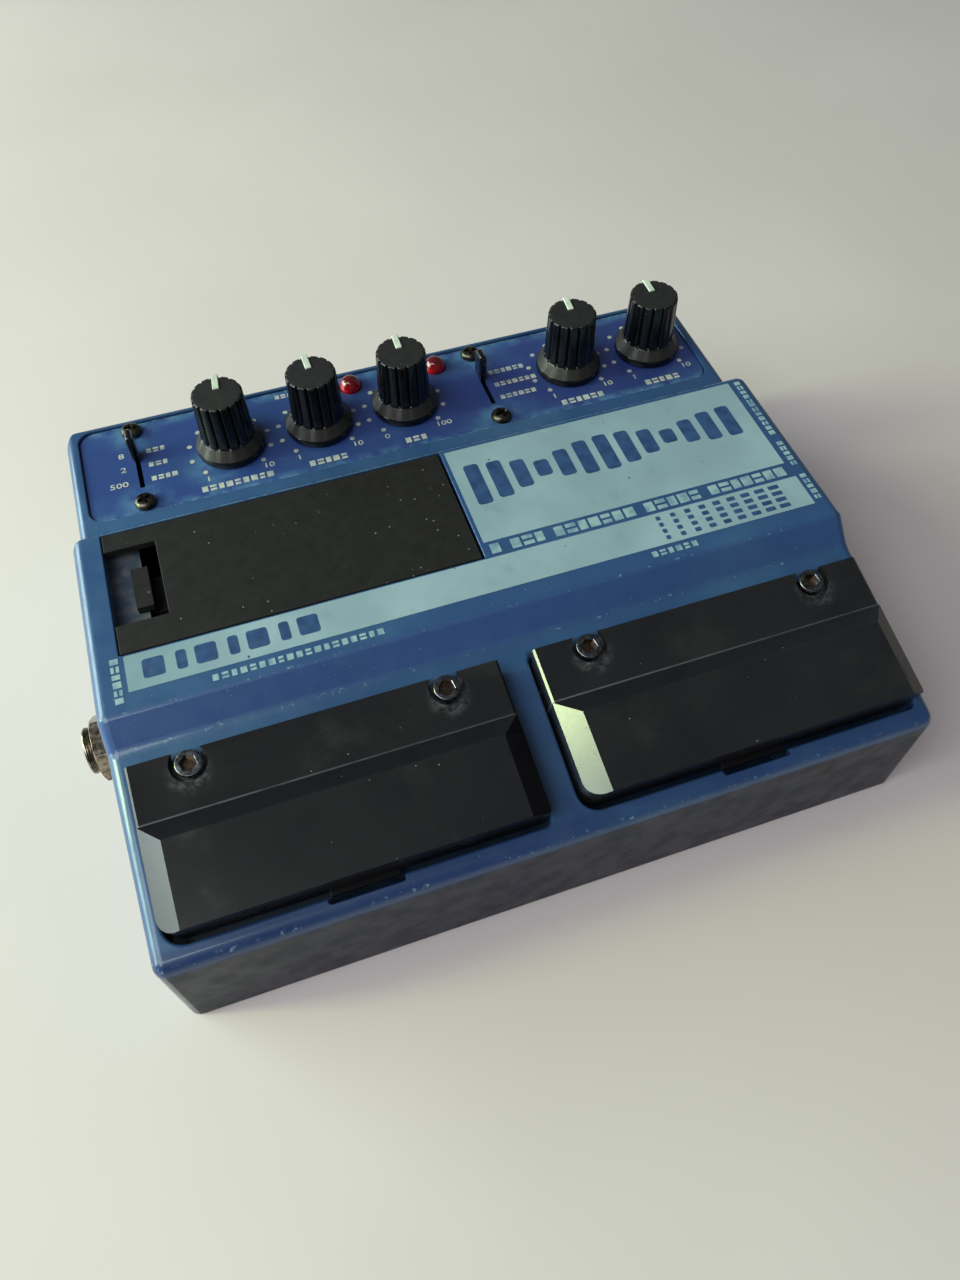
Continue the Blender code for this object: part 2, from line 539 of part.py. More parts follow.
# Jacks with their nuts, and the power socket
for name, side, y in JACKS:
    turn = (0.0, side * math.pi / 2, 0.0)
    at = (0.0, y, JACK_Z)
    bm = bmesh.new()
    add_box(bm, (-7 * MM, -7 * MM, 64 * MM), (7 * MM, 7 * MM, HALF_W - WALL - GAP))
    jack = finish(name, bm, CHROME, at, 30)
    bm = bmesh.new()
    add_cylinder(bm, (0.0, 0.0), JACK_R, 88 * MM, JACK_TIP)
    bush = finish(f"{name}_bush", bm, at=at)
    join(jack, bush)
    bm = bmesh.new()
    add_cylinder(bm, (0.0, 0.0), BORE_R, 67 * MM, 110 * MM)
    bore = finish(f"{name}_bore", bm, at=at)
    cut(jack, bore)
    bm = bmesh.new()
    add_cylinder(bm, (0.0, 0.0), 8.4 * MM, HALF_W + GAP, NUT_FACE, "Z", 6)
    nut = finish(f"{name}_nut", bm, CHROME, at)
    bm = bmesh.new()
    add_cylinder(bm, (0.0, 0.0), JACK_R + 0.15 * MM, 80 * MM, 110 * MM)
    nut_bore = finish(f"{name}_nut_bore", bm, at=at)
    cut(nut, nut_bore)
    for piece in (jack, bush, bore, nut, nut_bore):
        piece.rotation_euler = turn
at, turn = (0.0, POWER_Y, JACK_Z), (0.0, math.pi / 2, 0.0)
bm = bmesh.new()
add_box(bm, (-6 * MM, -5 * MM, 76 * MM), (6 * MM, 5 * MM, HALF_W - WALL - GAP))
power = finish("power_jack", bm, CHARCOAL, at, 30)
bm = bmesh.new()
add_cylinder(bm, (0.0, 0.0), 5.2 * MM, 88 * MM, HALF_W + 0.4 * MM)
collar = finish("power_collar", bm, at=at)
bm = bmesh.new()
add_cylinder(bm, (0.0, 0.0), 2.9 * MM, 79 * MM, 110 * MM, "Z", 24)
power_bore = finish("power_bore", bm, at=at)
bm = bmesh.new()
add_cylinder(bm, (0.0, 0.0), 0.95 * MM, 77 * MM, 90.5 * MM, "Z", 16)
power_pin = finish("power_pin", bm, at=at)
for piece in (power, collar, power_bore, power_pin):
    piece.rotation_euler = turn
join(power, collar)
cut(power, power_bore)
join(power, power_pin)

# Battery bay: tray, battery, door and the latch that slides under its left end
bm = bmesh.new()
TRAY = ((-72.6 * MM, DOOR_Y0 + 0.1 * MM, 21.8 * MM), (DOOR_X1, DOOR_Y1 - 0.1 * MM, 42.6 * MM))
add_box(bm, *TRAY)
tray = finish("battery_tray", bm, CHARCOAL)
bm = bmesh.new()
add_box(bm, (TRAY[0][0] + 1.3 * MM, TRAY[0][1] + 1.3 * MM, 23.2 * MM),
        (TRAY[1][0] - 1.3 * MM, TRAY[1][1] - 1.3 * MM, 60 * MM))
cut(tray, finish("tray_hollow", bm))
bm = bmesh.new()
add_box(bm, (-70.5 * MM, 0.8 * MM, 23.5 * MM), (-24.0 * MM, 27.2 * MM, 41.0 * MM))
weigh_edges(bm, lambda a, b: 1.0 if abs(a.x - b.x) > 10 * MM else 0.0)
battery = finish("battery", bm, WRAP)
bevel(battery, 2.0 * MM, 3)
bm = bmesh.new()
add_cylinder(bm, (7.4 * MM, 32.2 * MM), 2.9 * MM, -25 * MM, -21.8 * MM, "X", 20)
add_cylinder(bm, (20.6 * MM, 32.2 * MM), 3.6 * MM, -25 * MM, -21.8 * MM, "X", 6)
join(battery, finish("battery_studs", bm))

bm = bmesh.new()
add_box(bm, (DOOR_X0, DOOR_Y0, TOP_Z - DOOR_T), (DOOR_X1, DOOR_Y1, TOP_Z))
weigh_edges(bm, lambda a, b: 1.0 if a.x > 0 and b.x > 0 and abs(a.y - b.y) > GAP else 0.0)
door = finish("battery_door", bm, CHARCOAL)
bevel(door, 0.5 * MM, 2)
bm = bmesh.new()
for y in (8.2 * MM, 20.5 * MM):
    add_box(bm, (-71.6 * MM, y, 43 * MM), (-64 * MM, y + 1.0 * MM, TOP_Z - 1 * MM))
join(door, finish("door_guides", bm))
bm = bmesh.new()
add_box(bm, (-90 * MM, 3.8 * MM, 40 * MM), (-72.2 * MM, 26.7 * MM, 60 * MM))
cut(door, finish("door_notch", bm))
bm = bmesh.new()
add_box(bm, (-76.7 * MM, 9.5 * MM, 43.2 * MM), (-66 * MM, 20.2 * MM, 44.3 * MM))
latch = finish("door_latch", bm, BLACK)
bm = bmesh.new()
add_prism(bm, [(9.5 * MM, 44 * MM), (9.5 * MM, 46.8 * MM), (20.2 * MM, 46.8 * MM), (20.2 * MM, 44 * MM)],
          -76.7 * MM, -75.4 * MM)
join(latch, finish("latch_finger", bm))
bm = bmesh.new()
add_box(bm, (-79.4 * MM, 8.8 * MM, 46.4 * MM), (-75.4 * MM, 20.9 * MM, 48.5 * MM))
join(latch, finish("latch_pad", bm))

# Board with its parts, bottom plate, screws and feet
bm = bmesh.new()
add_box(bm, (-84 * MM, -40 * MM, 8.0 * MM), (84 * MM, 60 * MM, 9.6 * MM))
board = finish("circuit_board", bm, BOARD)
bm = bmesh.new()
for x in range(5):
    for y in range(2):
        add_box(bm, ((-60 + 26 * x) * MM, (-22 + 30 * y) * MM, 9 * MM),
                ((-41 + 26 * x) * MM, (-14 + 30 * y) * MM, 13 * MM))
for x in (-70, -30, 30, 66):
    add_cylinder(bm, (x * MM, 46 * MM), 4 * MM, 9 * MM, 20 * MM, "Z", 16)
join(board, finish("board_parts", bm))
bm = bmesh.new()
PLATE_GAP = WALL + 0.4 * MM
inner_x, step = HALF_W - PLATE_GAP, STEP_Y - PLATE_GAP
rear_x0, rear_x1 = REAR_X0 + PLATE_GAP, REAR_X1 - PLATE_GAP
front_y, rear_y = -HALF_D + PLATE_GAP, HALF_D - PLATE_GAP
add_prism(bm, [(-inner_x, front_y), (inner_x, front_y), (inner_x, step), (rear_x1, step), (rear_x1, rear_y),
               (rear_x0, rear_y), (rear_x0, step), (-inner_x, step)], 2.0 * MM, 3.2 * MM, "Z")
plate = finish("bottom_plate", bm, PLATE)
bm = bmesh.new()
for x, y in POSTS:
    add_cylinder(bm, (x, y), 1.6 * MM, 0.0, 10 * MM, "Z", 16)
cut(plate, finish("plate_holes", bm))
base_profile = [(0.0, 12.0 * MM), (1.2 * MM, 12.0 * MM), (1.2 * MM, 1.7 * MM), (2.8 * MM, 1.7 * MM),
                (2.5 * MM, 0.3 * MM), (0.0, 0.3 * MM)]
foot_profile = [(0.0, 1.7 * MM), (8.0 * MM, 1.7 * MM), (7.6 * MM, 0.0), (0.0, 0.0)]
for i, (x, y) in enumerate(POSTS):
    turned(f"basescrew_{i + 1}", base_profile, STEEL, (x, y, 0.0), 16)
    turned(f"foot_{i + 1}", foot_profile, RUBBER, (x * 0.84, y * 0.84, 0.0), 24)
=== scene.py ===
"""Looks of the two-treadle effects pedal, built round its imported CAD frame.

Shapes are drawn in millimetres in the frame's axes: +X to the right, +Y to the rear, +Z up.
"""

from functools import partial, reduce
from math import atan, cos, pi, radians, sin, tau

import bmesh
import bpy
from mathutils import Matrix, Vector


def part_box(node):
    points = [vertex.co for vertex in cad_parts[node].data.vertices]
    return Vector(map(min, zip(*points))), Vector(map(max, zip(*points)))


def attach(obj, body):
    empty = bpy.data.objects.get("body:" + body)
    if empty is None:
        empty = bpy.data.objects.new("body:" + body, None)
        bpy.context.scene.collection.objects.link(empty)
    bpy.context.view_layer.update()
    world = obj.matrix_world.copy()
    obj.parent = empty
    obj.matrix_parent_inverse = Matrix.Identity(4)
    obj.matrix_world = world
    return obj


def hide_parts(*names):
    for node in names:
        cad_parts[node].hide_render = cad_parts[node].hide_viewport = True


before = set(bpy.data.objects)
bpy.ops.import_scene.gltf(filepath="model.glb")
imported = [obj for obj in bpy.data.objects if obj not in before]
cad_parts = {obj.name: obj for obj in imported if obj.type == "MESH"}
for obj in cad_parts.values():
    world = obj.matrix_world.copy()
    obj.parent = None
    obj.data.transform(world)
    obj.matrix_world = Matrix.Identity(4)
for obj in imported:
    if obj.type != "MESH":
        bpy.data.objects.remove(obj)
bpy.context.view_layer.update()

MM = 0.001
EVEN = (1, 1, 1)


def node_box(name):
    """Lowest corner, highest corner and middle of a CAD node in millimetres."""
    low, high = (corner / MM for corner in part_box(name))
    return low, high, (low + high) / 2


def node_middle(name):
    return node_box(name)[2]


# Case, from the enclosure's own box and the bends of its side outline
CASE_LOW, CASE_HIGH = node_box("enclosure")[:2]
HALF_W, HALF_D = CASE_HIGH.x, CASE_HIGH.y
CASE_BOTTOM, TOP_Z = CASE_LOW.z, CASE_HIGH.z
FRONT_Z, BAND_Y, BAND_Z, SLOPE_Y = 33.4, -26.3, 44.9, -20
STEP_Y, REAR_Z, REAR_X0, REAR_X1 = 33.4, 49, -90.1, 87.1
EDGE_R, REAR_CORNER_R, WALL = 2.8, 5.5, 2.4
RIM_SLOPE = (BAND_Z - FRONT_Z) / (HALF_D + BAND_Y)
WELL_IN, WELL_OUT, WELL_FRONT, WELL_REAR, WELL_DEPTH = 3.8, 88.2, -68, -31.2, 10
NOTCH_HALF, NOTCH_FRONT = 8.45, -69.5

# Control panel
PANEL_Z, PANEL_X0, PANEL_X1, PANEL_FRONT, PANEL_REAR = 47.7, -86.7, 83.9, 38.2, 71.4
LABEL_LOW, LABEL_HIGH = node_box("control_label")[:2]
LABEL_TOP = LABEL_HIGH.z
KNOBS = ["time", "repeats", "mix", "output", "input"]
KNOB_TOP = 66.4
SIDES = {"left": -1, "right": 1}
LEVER_SPOTS = {side: node_middle(f"lever_{side}") for side in SIDES}
PANEL_SCREWS = {side: [f"panscrew_{side}_{end}" for end in ("front", "rear")] for side in SIDES}
CAP_SCREWS = {side: [f"capscrew_{side}_{end}" for end in ("inner", "outer")] for side in SIDES}

# Battery door, and the ledge under the finger notch beside its latch
DOOR_LOW, DOOR_HIGH = node_box("battery_door")[:2]
DOOR_T, DOOR_GAP = 1.9, 0.3
LEDGE_Z, LEDGE_X, LEDGE_Y0, LEDGE_Y1 = 46, -70, 2, 28.5

# Treadles, drawn level from the middle of the rear top edge and then tipped
TREADLE_X, TREADLE_HALF = 45.93, 41.74
TREADLE_REAR_Y, TREADLE_REAR_Z = -32.44, 49.14
TREADLE_TILT = atan(0.2268)
TREADLE_LEN, CREASE, PAD_BEVEL, PAD_RISE, SKIRT = 36.57, 13.36, 4.85, 3.8, 9.5
PIN_IN, PIN_DOWN = 7.6, 9.6
CAP_DX, CAP_IN = 28.8, 2.9
CAP_HOLE_R, BOLT_HOLE_R, PIN_R = 4.2, 2, 1.6
PLUNGER_Y, PLUNGER_HOLE_R = -55, 3.4

# Holes in the panel, sockets in the sides, and posts for the base screws as (X, Y, top)
KNOB_HOLE_R, LAMP_HOLE_R, SCREW_HOLE_R, SLOT_REACH = 4.7, 3.05, 1.6, 7.4
JACKS = {"output_jack": -1, "input_jack": 1, "trigger_jack": 1}
JACK_R, BORE_R, NUT_R, POWER_R, INNER_FACE = 5.7, 3.25, 8.4, 5.2, 89.3
POSTS = ((82, -63, 24.5), (80.4, 65.4, 46))


def rim_z(y):
    return FRONT_Z + (y + HALF_D) * RIM_SLOPE


def flat(z):
    return lambda y: z


# ---------------- mesh helpers

def new_object(name, data):
    made = bpy.data.objects.new(name, data)
    bpy.context.scene.collection.objects.link(made)
    return made


def scratch(source):
    """A working object, which isn't kept, from a mesh drawn in millimetres. An object passes through."""
    if not isinstance(source, bmesh.types.BMesh):
        return source
    mesh = bpy.data.meshes.new("scratch")
    bmesh.ops.recalc_face_normals(source, faces=source.faces)
    source.to_mesh(mesh)
    source.free()
    return new_object("scratch", mesh)


def evaluated_mesh(obj):
    graph = bpy.context.evaluated_depsgraph_get()
    graph.update()
    return bpy.data.meshes.new_from_object(obj.evaluated_get(graph))


def settle(obj):
    """Applies the object's modifiers to its mesh."""
    mesh = evaluated_mesh(obj)
    obj.modifiers.clear()
    obj.data = mesh
    return obj


def boolean(target, other, operation):
    """Works one shape into another and uses it up."""
    target, other = scratch(target), scratch(other)
    modifier = target.modifiers.new("boolean", "BOOLEAN")
    modifier.operation = operation
    modifier.solver = "MANIFOLD"
    modifier.object = other
    settle(target)
    bpy.data.objects.remove(other)
    return target


def cut(target, other):
    return boolean(target, other, "DIFFERENCE")


def join(target, other):
    return boolean(target, other, "UNION")


def bevel(target, width, segments, angle=None):
    """Rounds the weighted edges, or every edge sharper than the angle."""
    target = scratch(target)
    modifier = target.modifiers.new("rounding", "BEVEL")
    modifier.width = width
    modifier.segments = segments
    modifier.limit_method = "WEIGHT" if angle is None else "ANGLE"
    if angle is not None:
        modifier.angle_limit = radians(angle)
    return settle(target)


def weigh(bm, rule):
    """Gives each edge the bevel weight that the rule says for its two ends."""
    layer = bm.edges.layers.float.new("bevel_weight_edge")
    for edge in bm.edges:
        edge[layer] = rule(*[vert.co for vert in edge.verts])
    return bm


def box_mesh(low, high):
    bm = bmesh.new()
    bmesh.ops.create_cube(bm, size=1)
    bmesh.ops.scale(bm, vec=[h - l for l, h in zip(low, high)], verts=bm.verts)
    bmesh.ops.translate(bm, vec=[(l + h) / 2 for l, h in zip(low, high)], verts=bm.verts)
    return bm


def add_loft(bm, rings, closed=True):
    """Joins rings of the same count of points, and caps the two ends."""
    rows = [[bm.verts.new(point) for point in ring] for ring in rings]
    count = len(rows[0])
    for lower, upper in zip(rows, rows[1:]):
        for i in range(count):
            j = (i + 1) % count
            bm.faces.new((lower[i], lower[j], upper[j], upper[i]))
    if closed:
        bm.faces.new(rows[0])
        bm.faces.new(rows[-1])
    return rows


def loft_mesh(rings):
    bm = bmesh.new()
    add_loft(bm, rings)
    return bm


def levels(outline, *heights):
    """Rings that repeat an outline at each height."""
    return [[(x, y, z) for x, y in outline] for z in heights]


def side_prism(outline, low, high):
    """The outline of (Y, Z) pairs run along X."""
    return loft_mesh([[(x, y, z) for y, z in outline] for x in (low, high)])


def circle(radius, count, shift=0, centre=(0, 0)):
    angles = [tau * (i + shift) / count for i in range(count)]
    return [(centre[0] + radius * cos(a), centre[1] + radius * sin(a)) for a in angles]


def turned_mesh(profile, segments=48, centre=(0, 0)):
    """Turns (radius, height) pairs about a vertical axis, and closes both ends to the axis."""
    bm = bmesh.new()
    starts, ends = ([(0, z)] if r else [] for r, z in (profile[0], profile[-1]))
    profile = starts + profile + ends
    rows = [[bm.verts.new((x, y, z)) for x, y in circle(r, segments if r else 1, centre=centre)] for r, z in profile]
    for lower, upper in zip(rows, rows[1:]):
        for i in range(segments):
            j = (i + 1) % segments
            if len(lower) == 1 and len(upper) > 1:
                bm.faces.new((lower[0], upper[j], upper[i]))
            elif len(upper) == 1 and len(lower) > 1:
                bm.faces.new((lower[i], lower[j], upper[0]))
            elif len(lower) > 1:
                bm.faces.new((lower[i], lower[j], upper[j], upper[i]))
    return bm


def rod(radius, low, high, segments, centre=(0, 0)):
    return turned_mesh([(radius, low), (radius, high)], segments, centre)


def dome(radius, base, rise, steps, power=1):
    """A crown's (radius, height) pairs from just above its rim to its top."""
    angles = [radians(90 / steps * i) for i in range(1, steps)]
    return [(radius * cos(a) ** power, base + rise * sin(a)) for a in angles] + [(0, base + rise)]


def point_sideways(bm, y, z, side=1):
    """Turns a mesh drawn about +Z so that it points to the left or right, and moves it into place."""
    bmesh.ops.rotate(bm, matrix=Matrix.Rotation(side * pi / 2, 3, "Y"), verts=bm.verts)
    bmesh.ops.translate(bm, vec=(0, y, z), verts=bm.verts)
    return bm


def rounded_rect(sides, radii, grow=0, steps=6):
    """Outline of a rectangle grown outward. Four radii run from the right front corner by the right rear one."""
    x0, x1, y0, y1 = sides
    radii = radii if isinstance(radii, tuple) else (radii,) * 4
    points = []
    for (x, y, start), r in zip(((x1, y0, -90), (x1, y1, 0), (x0, y1, 90), (x0, y0, 180)), radii):
        cx = x - r if x == x1 else x + r
        cy = y - r if y == y1 else y + r
        for i in range(steps + 1):
            a = radians(start + 90 * i / steps)
            points.append((cx + (r + grow) * cos(a), cy + (r + grow) * sin(a)))
    return points


def pocket(sides, radii, lip, surface, floor, steps=6):
    """A cutter for a pocket whose mouth rounds over by the lip radius where it meets the surface."""
    clear_above = 12
    rings = [[(x, y, floor(y)) for x, y in rounded_rect(sides, radii, 0, steps)]]
    for angle in range(0, 86, 17):
        a = radians(angle)
        outline = rounded_rect(sides, radii, lip * (1 - cos(a)), steps)
        rings.append([(x, y, surface(y) - lip * (1 - sin(a))) for x, y in outline])
    rings.append([(x, y, surface(y) + clear_above) for x, y in outline])
    return loft_mesh(rings)


def shade(obj, angle):
    """Smooth shading that keeps flat faces flat and edges over the angle sharp."""
    obj.data.shade_smooth()
    obj.data.set_sharp_from_angle(angle=radians(angle))
    modifier = obj.modifiers.new("even_normals", "WEIGHTED_NORMAL")
    modifier.keep_sharp = True
    modifier.weight = 60
    settle(obj)


def piece(name, source, paint, body, node=None, angle=32, place=None):
    """Turns a millimetre mesh or working object into a finished piece on its body, in place of a CAD node."""
    obj = scratch(source)
    obj.name = name
    if place is not None:
        obj.data.transform(place)
    obj.data.transform(Matrix.Scale(MM, 4))
    obj.data.name = name
    shade(obj, angle)
    obj.data.materials.clear()
    for one in paint if isinstance(paint, list) else [paint]:
        obj.data.materials.append(one)
    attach(obj, body)
    if node:
        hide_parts(node)
    return obj


def second_paint(obj, rule):
    """Gives the faces that the rule picks the piece's second, duller paint."""
    for face in obj.data.polygons:
        if rule(face):
            face.material_index = 1


# ---------------- material helpers

def srgb(r, g, b):
    """A linear colour from screen values of 0 to 255."""
    def linear(c):
        c /= 255
        return c / 12.92 if c <= 0.04045 else ((c + 0.055) / 1.055) ** 2.4
    return (linear(r), linear(g), linear(b), 1)


class Paint:
    """Builds one material's nodes, as p in the functions below. Distances are in millimetres, tones screen values."""

    def __init__(self, name):
        self.material = bpy.data.materials.new(name)
        self.material.use_nodes = True
        self.tree = self.material.node_tree
        self.shader = self.tree.nodes["Principled BSDF"]
        self.colour = None
        self.at = self.vector("MULTIPLY", self.node("TexCoord").outputs["Object"], (1 / MM, 1 / MM, 1 / MM))
        self.x, self.y, self.z = self.node("SeparateXYZ", self.at).outputs

    def feed(self, socket, value):
        if isinstance(value, bpy.types.NodeSocket):
            self.tree.links.new(value, socket)
        else:
            socket.default_value = value

    def node(self, kind, *values, **settings):
        """A new node with its settings and the values of its first inputs."""
        made = self.tree.nodes.new("ShaderNode" + kind)
        for key, value in settings.items():
            setattr(made, key, value)
        for socket, value in zip(made.inputs, values):
            self.feed(socket, value)
        return made

    def vector(self, operation, a, b):
        made = self.node("VectorMath", a, b, operation=operation)
        return made.outputs["Value" if operation == "DISTANCE" else "Vector"]

    def calc(self, operation, a, b=0):
        return self.node("Math", a, b, operation=operation).outputs[0]

    def both(self, *values):
        """The product: 1 where every value is 1."""
        return reduce(partial(self.calc, "MULTIPLY"), values)

    def any_of(self, *values):
        return reduce(partial(self.calc, "MAXIMUM"), values)

    def step(self, value, low, high, to_low=0, to_high=1):
        """A smooth step from to_low to to_high as the value goes from low to high."""
        return self.node("MapRange", value, low, high, to_low, to_high, interpolation_type="SMOOTHSTEP").outputs[0]

    def drop(self, value, low, high):
        """A smooth step from 1 down to 0."""
        return self.step(value, low, high, 1, 0)

    def within(self, value, outer_low, low, high, outer_high):
        """1 from low to high, falling to 0 at the outer two."""
        return self.both(self.step(value, outer_low, low), self.drop(value, high, outer_high))

    def band(self, value, middle, half):
        """1 where the value is at the middle, falling to 0 half away."""
        return self.drop(self.calc("ABSOLUTE", self.calc("SUBTRACT", value, middle)), 0, half)

    def near(self, point, inner, outer):
        """1 within the inner radius of a point, falling to 0 at the outer one."""
        return self.drop(self.vector("DISTANCE", self.at, tuple(point)), inner, outer)

    def texture(self, kind, size, stretch, **inputs):
        made = self.node(kind, self.vector("MULTIPLY", self.at, stretch))
        for key, value in inputs.items():
            made.inputs[key].default_value = value
        made.inputs["Scale"].default_value = 1 / size
        return made

    def noise(self, size, detail=2, stretch=EVEN, rough=0.5):
        return self.texture("TexNoise", size, stretch, Detail=detail, Roughness=rough).outputs["Fac"]

    def patches(self, size, detail, low, high, to_low=0, to_high=1, rough=0.5, stretch=EVEN):
        """Cloudy patches, from a smooth step of noise."""
        return self.step(self.noise(size, detail, stretch, rough), low, high, to_low, to_high)

    def spots(self, size, share, core, stretch):
        cells = self.texture("TexVoronoi", size, stretch).outputs["Distance"]
        return self.drop(cells, share * core, share)

    def specks(self, size, share, clump=None):
        """Small scattered spots: share is about how wide each is against its cell, clump the noise they keep to."""
        spots = self.spots(size, share, 0.7, EVEN)
        return spots if clump is None else self.both(spots, self.patches(*clump))

    def hairlines(self, size, share, direction):
        """Fine scratches along one direction, in patches."""
        return self.both(self.spots(size, share, 0.6, direction), self.patches(size * 6, 3, 0.52, 0.6))

    def mix(self, factor, a, b):
        made = self.node("Mix", factor, data_type="RGBA")
        for index, tone in ((6, a), (7, b)):
            self.feed(made.inputs[index], srgb(*tone) if isinstance(tone, tuple) else tone)
        return made.outputs[2]

    def lay(self, mask, tone, strength=None):
        """Lays a tone over the colour so far where the mask is."""
        self.colour = self.mix(mask if strength is None else self.both(mask, strength), self.colour, tone)

    def base(self, tone_a, tone_b, size, detail=4):
        """Starts the colour as two tones in cloudy patches."""
        self.colour = self.mix(self.patches(size, detail, 0.35, 0.7), tone_a, tone_b)

    def bump(self, height, depth, strength=1, under=None):
        made = self.node("Bump", strength, depth * MM)
        self.feed(made.inputs["Height"], height)
        if under is not None:
            self.feed(made.inputs["Normal"], under)
        return made.outputs["Normal"]

    def finish(self, rough, **inputs):
        """Feeds the shader's inputs, with underscores for spaces, and gives the material."""
        for key, value in {"Base_Color": self.colour, "Roughness": rough, **inputs}.items():
            self.feed(self.shader.inputs[key.replace("_", " ")], value)
        return self.material


def blue_paint(shine=0.5, coat=0.5):
    """Blue enamel with painted shade in its wells, recesses, front slope, front rims and rear rim, a pale ledge that
    is dust and painted light, a duller front painted dark and warm as painted shade and reflection, chips, specks and
    scratches, and a painted highlight mixed into the wear along the step's edge.
    """
    p = Paint("die_cast_blue")
    x, y, z = p.x, p.y, p.z
    p.colour = p.mix(p.patches(34, 3, 0.35, 0.68), (43, 75, 120), (55, 90, 130))
    # Painted shade: the front-facing slope is laid a deeper blue, most strongly on the left.
    slope = p.within(y, BAND_Y - 0.6, BAND_Y + 1.2, SLOPE_Y - 0.6, SLOPE_Y + 0.8)
    p.lay(p.both(slope, p.step(x, -10, 50, 0.85, 0.4)), (48, 76, 134))
    # Painted shade: the wells' shoulders and sunken floors, the strip behind the step and the recess round the label
    # are darkened.
    in_well = p.within(p.calc("ABSOLUTE", x), WELL_IN - 0.6, WELL_IN + 0.3, WELL_OUT + 0.1, WELL_OUT + 1)
    shoulder = p.both(p.within(y, WELL_REAR - 0.4, WELL_REAR, WELL_REAR + 0.8, WELL_REAR + 2),
                      p.step(z, 41, 42))
    rim = p.calc("ADD", p.both(y, RIM_SLOPE), FRONT_Z + HALF_D * RIM_SLOPE)
    sunk = p.both(p.step(p.calc("SUBTRACT", rim, z), 0.9, 2.4),
                  p.within(y, NOTCH_FRONT - 0.4, NOTCH_FRONT, WELL_REAR, WELL_REAR + 0.5))
    behind_step = p.within(y, STEP_Y - 0.2, STEP_Y, STEP_Y + 0.3, STEP_Y + 1.2)
    under_label = p.both(p.within(z, 44, 44.1, PANEL_Z + 0.1, PANEL_Z + 0.2),
                         p.within(x, PANEL_X0 - 0.8, PANEL_X0 - 0.5, PANEL_X1 + 0.5, PANEL_X1 + 0.8),
                         p.within(y, PANEL_FRONT - 0.6, PANEL_FRONT - 0.4, PANEL_REAR + 0.3, PANEL_REAR + 0.6))
    shaded = p.any_of(p.both(in_well, p.any_of(shoulder, sunk)), behind_step, under_label)
    p.lay(shaded, (16, 27, 46), 0.8)
    # The ledge under the finger notch is painted pale grey: partly dust, partly painted light that lifts the shade it
    # sits in.
    ledge = p.both(p.drop(z, LEDGE_Z + 0.4, LEDGE_Z + 1.6), p.within(x, -87.4, -86.9, LEDGE_X - 1, LEDGE_X),
                   p.within(y, LEDGE_Y0 - 1, LEDGE_Y0 - 0.2, LEDGE_Y1 + 0.1, LEDGE_Y1 + 0.9))
    p.lay(ledge, p.mix(p.patches(4, 4, 0.35, 0.7), (64, 76, 90), (112, 116, 116)), 0.9)
    # Painted shade and reflection: the front face is laid a dark warm grey in streaks.
    front = p.both(p.drop(y, 0.3 - HALF_D, 1.4 - HALF_D), p.drop(z, FRONT_Z - 3.6, FRONT_Z - 1.6))
    shade_and_reflection_streaks = p.patches(6, 4, 0.35, 0.7, stretch=(0.35, 1, 2.2))
    p.lay(front, p.mix(shade_and_reflection_streaks, (38, 33, 36), (49, 41, 41)), 0.88)
    # Painted shade: the front rims by the wells are laid a dark royal blue, most strongly on the left.
    lip = p.both(p.drop(y, NOTCH_FRONT, WELL_FRONT + 1), p.calc("SUBTRACT", 1, front))
    p.lay(p.both(lip, p.step(x, -90, 60, 0.7, 0.25)), (24, 36, 92))
    # Painted shade along the rear rim behind the panel.
    rear_rim = p.both(p.step(y, PANEL_REAR + 0.3, PANEL_REAR + 0.9), p.step(z, 46, 46.8))
    p.lay(rear_rim, (26, 48, 80), 0.75)
    p.lay(p.patches(9, 5, 0.5, 0.75, rough=0.65), (40, 66, 102), 0.28)
    bends = p.any_of(p.band(y, BAND_Y, 0.8), p.band(y, SLOPE_Y, 0.5), p.band(z, FRONT_Z - 0.6, 0.8))
    chips = p.both(bends, p.patches(1.5, 4, 0.6, 0.64, rough=0.7))
    dust = p.specks(2.6, 0.085, (14, 2, 0.45, 0.6))
    # Pale wear along the step's top edge, partly worn paint and partly a painted highlight line.
    step_edge_wear_and_highlight = p.both(p.band(y, STEP_Y - 0.45, 0.5), p.patches(1.5, 4, 0.4, 0.56, rough=0.7))
    pale_wear_and_highlight = p.any_of(chips, p.both(dust, 0.5), step_edge_wear_and_highlight)
    p.lay(pale_wear_and_highlight, (122, 158, 180), 0.7)
    p.lay(p.hairlines(7, 0.035, (1, 14, 3)), (120, 150, 175), 0.35)
    peel = p.bump(p.noise(0.9), 0.05, 0.5)
    return p.finish(p.patches(5, 4, 0.3, 0.75, 0.34, 0.5), Normal=p.bump(pale_wear_and_highlight, 0.06, 0.5, peel),
                    Coat_Weight=coat, Coat_Roughness=0.09, Specular_IOR_Level=shine,
                    Specular_Tint=(0.8, 1, 1, 1))


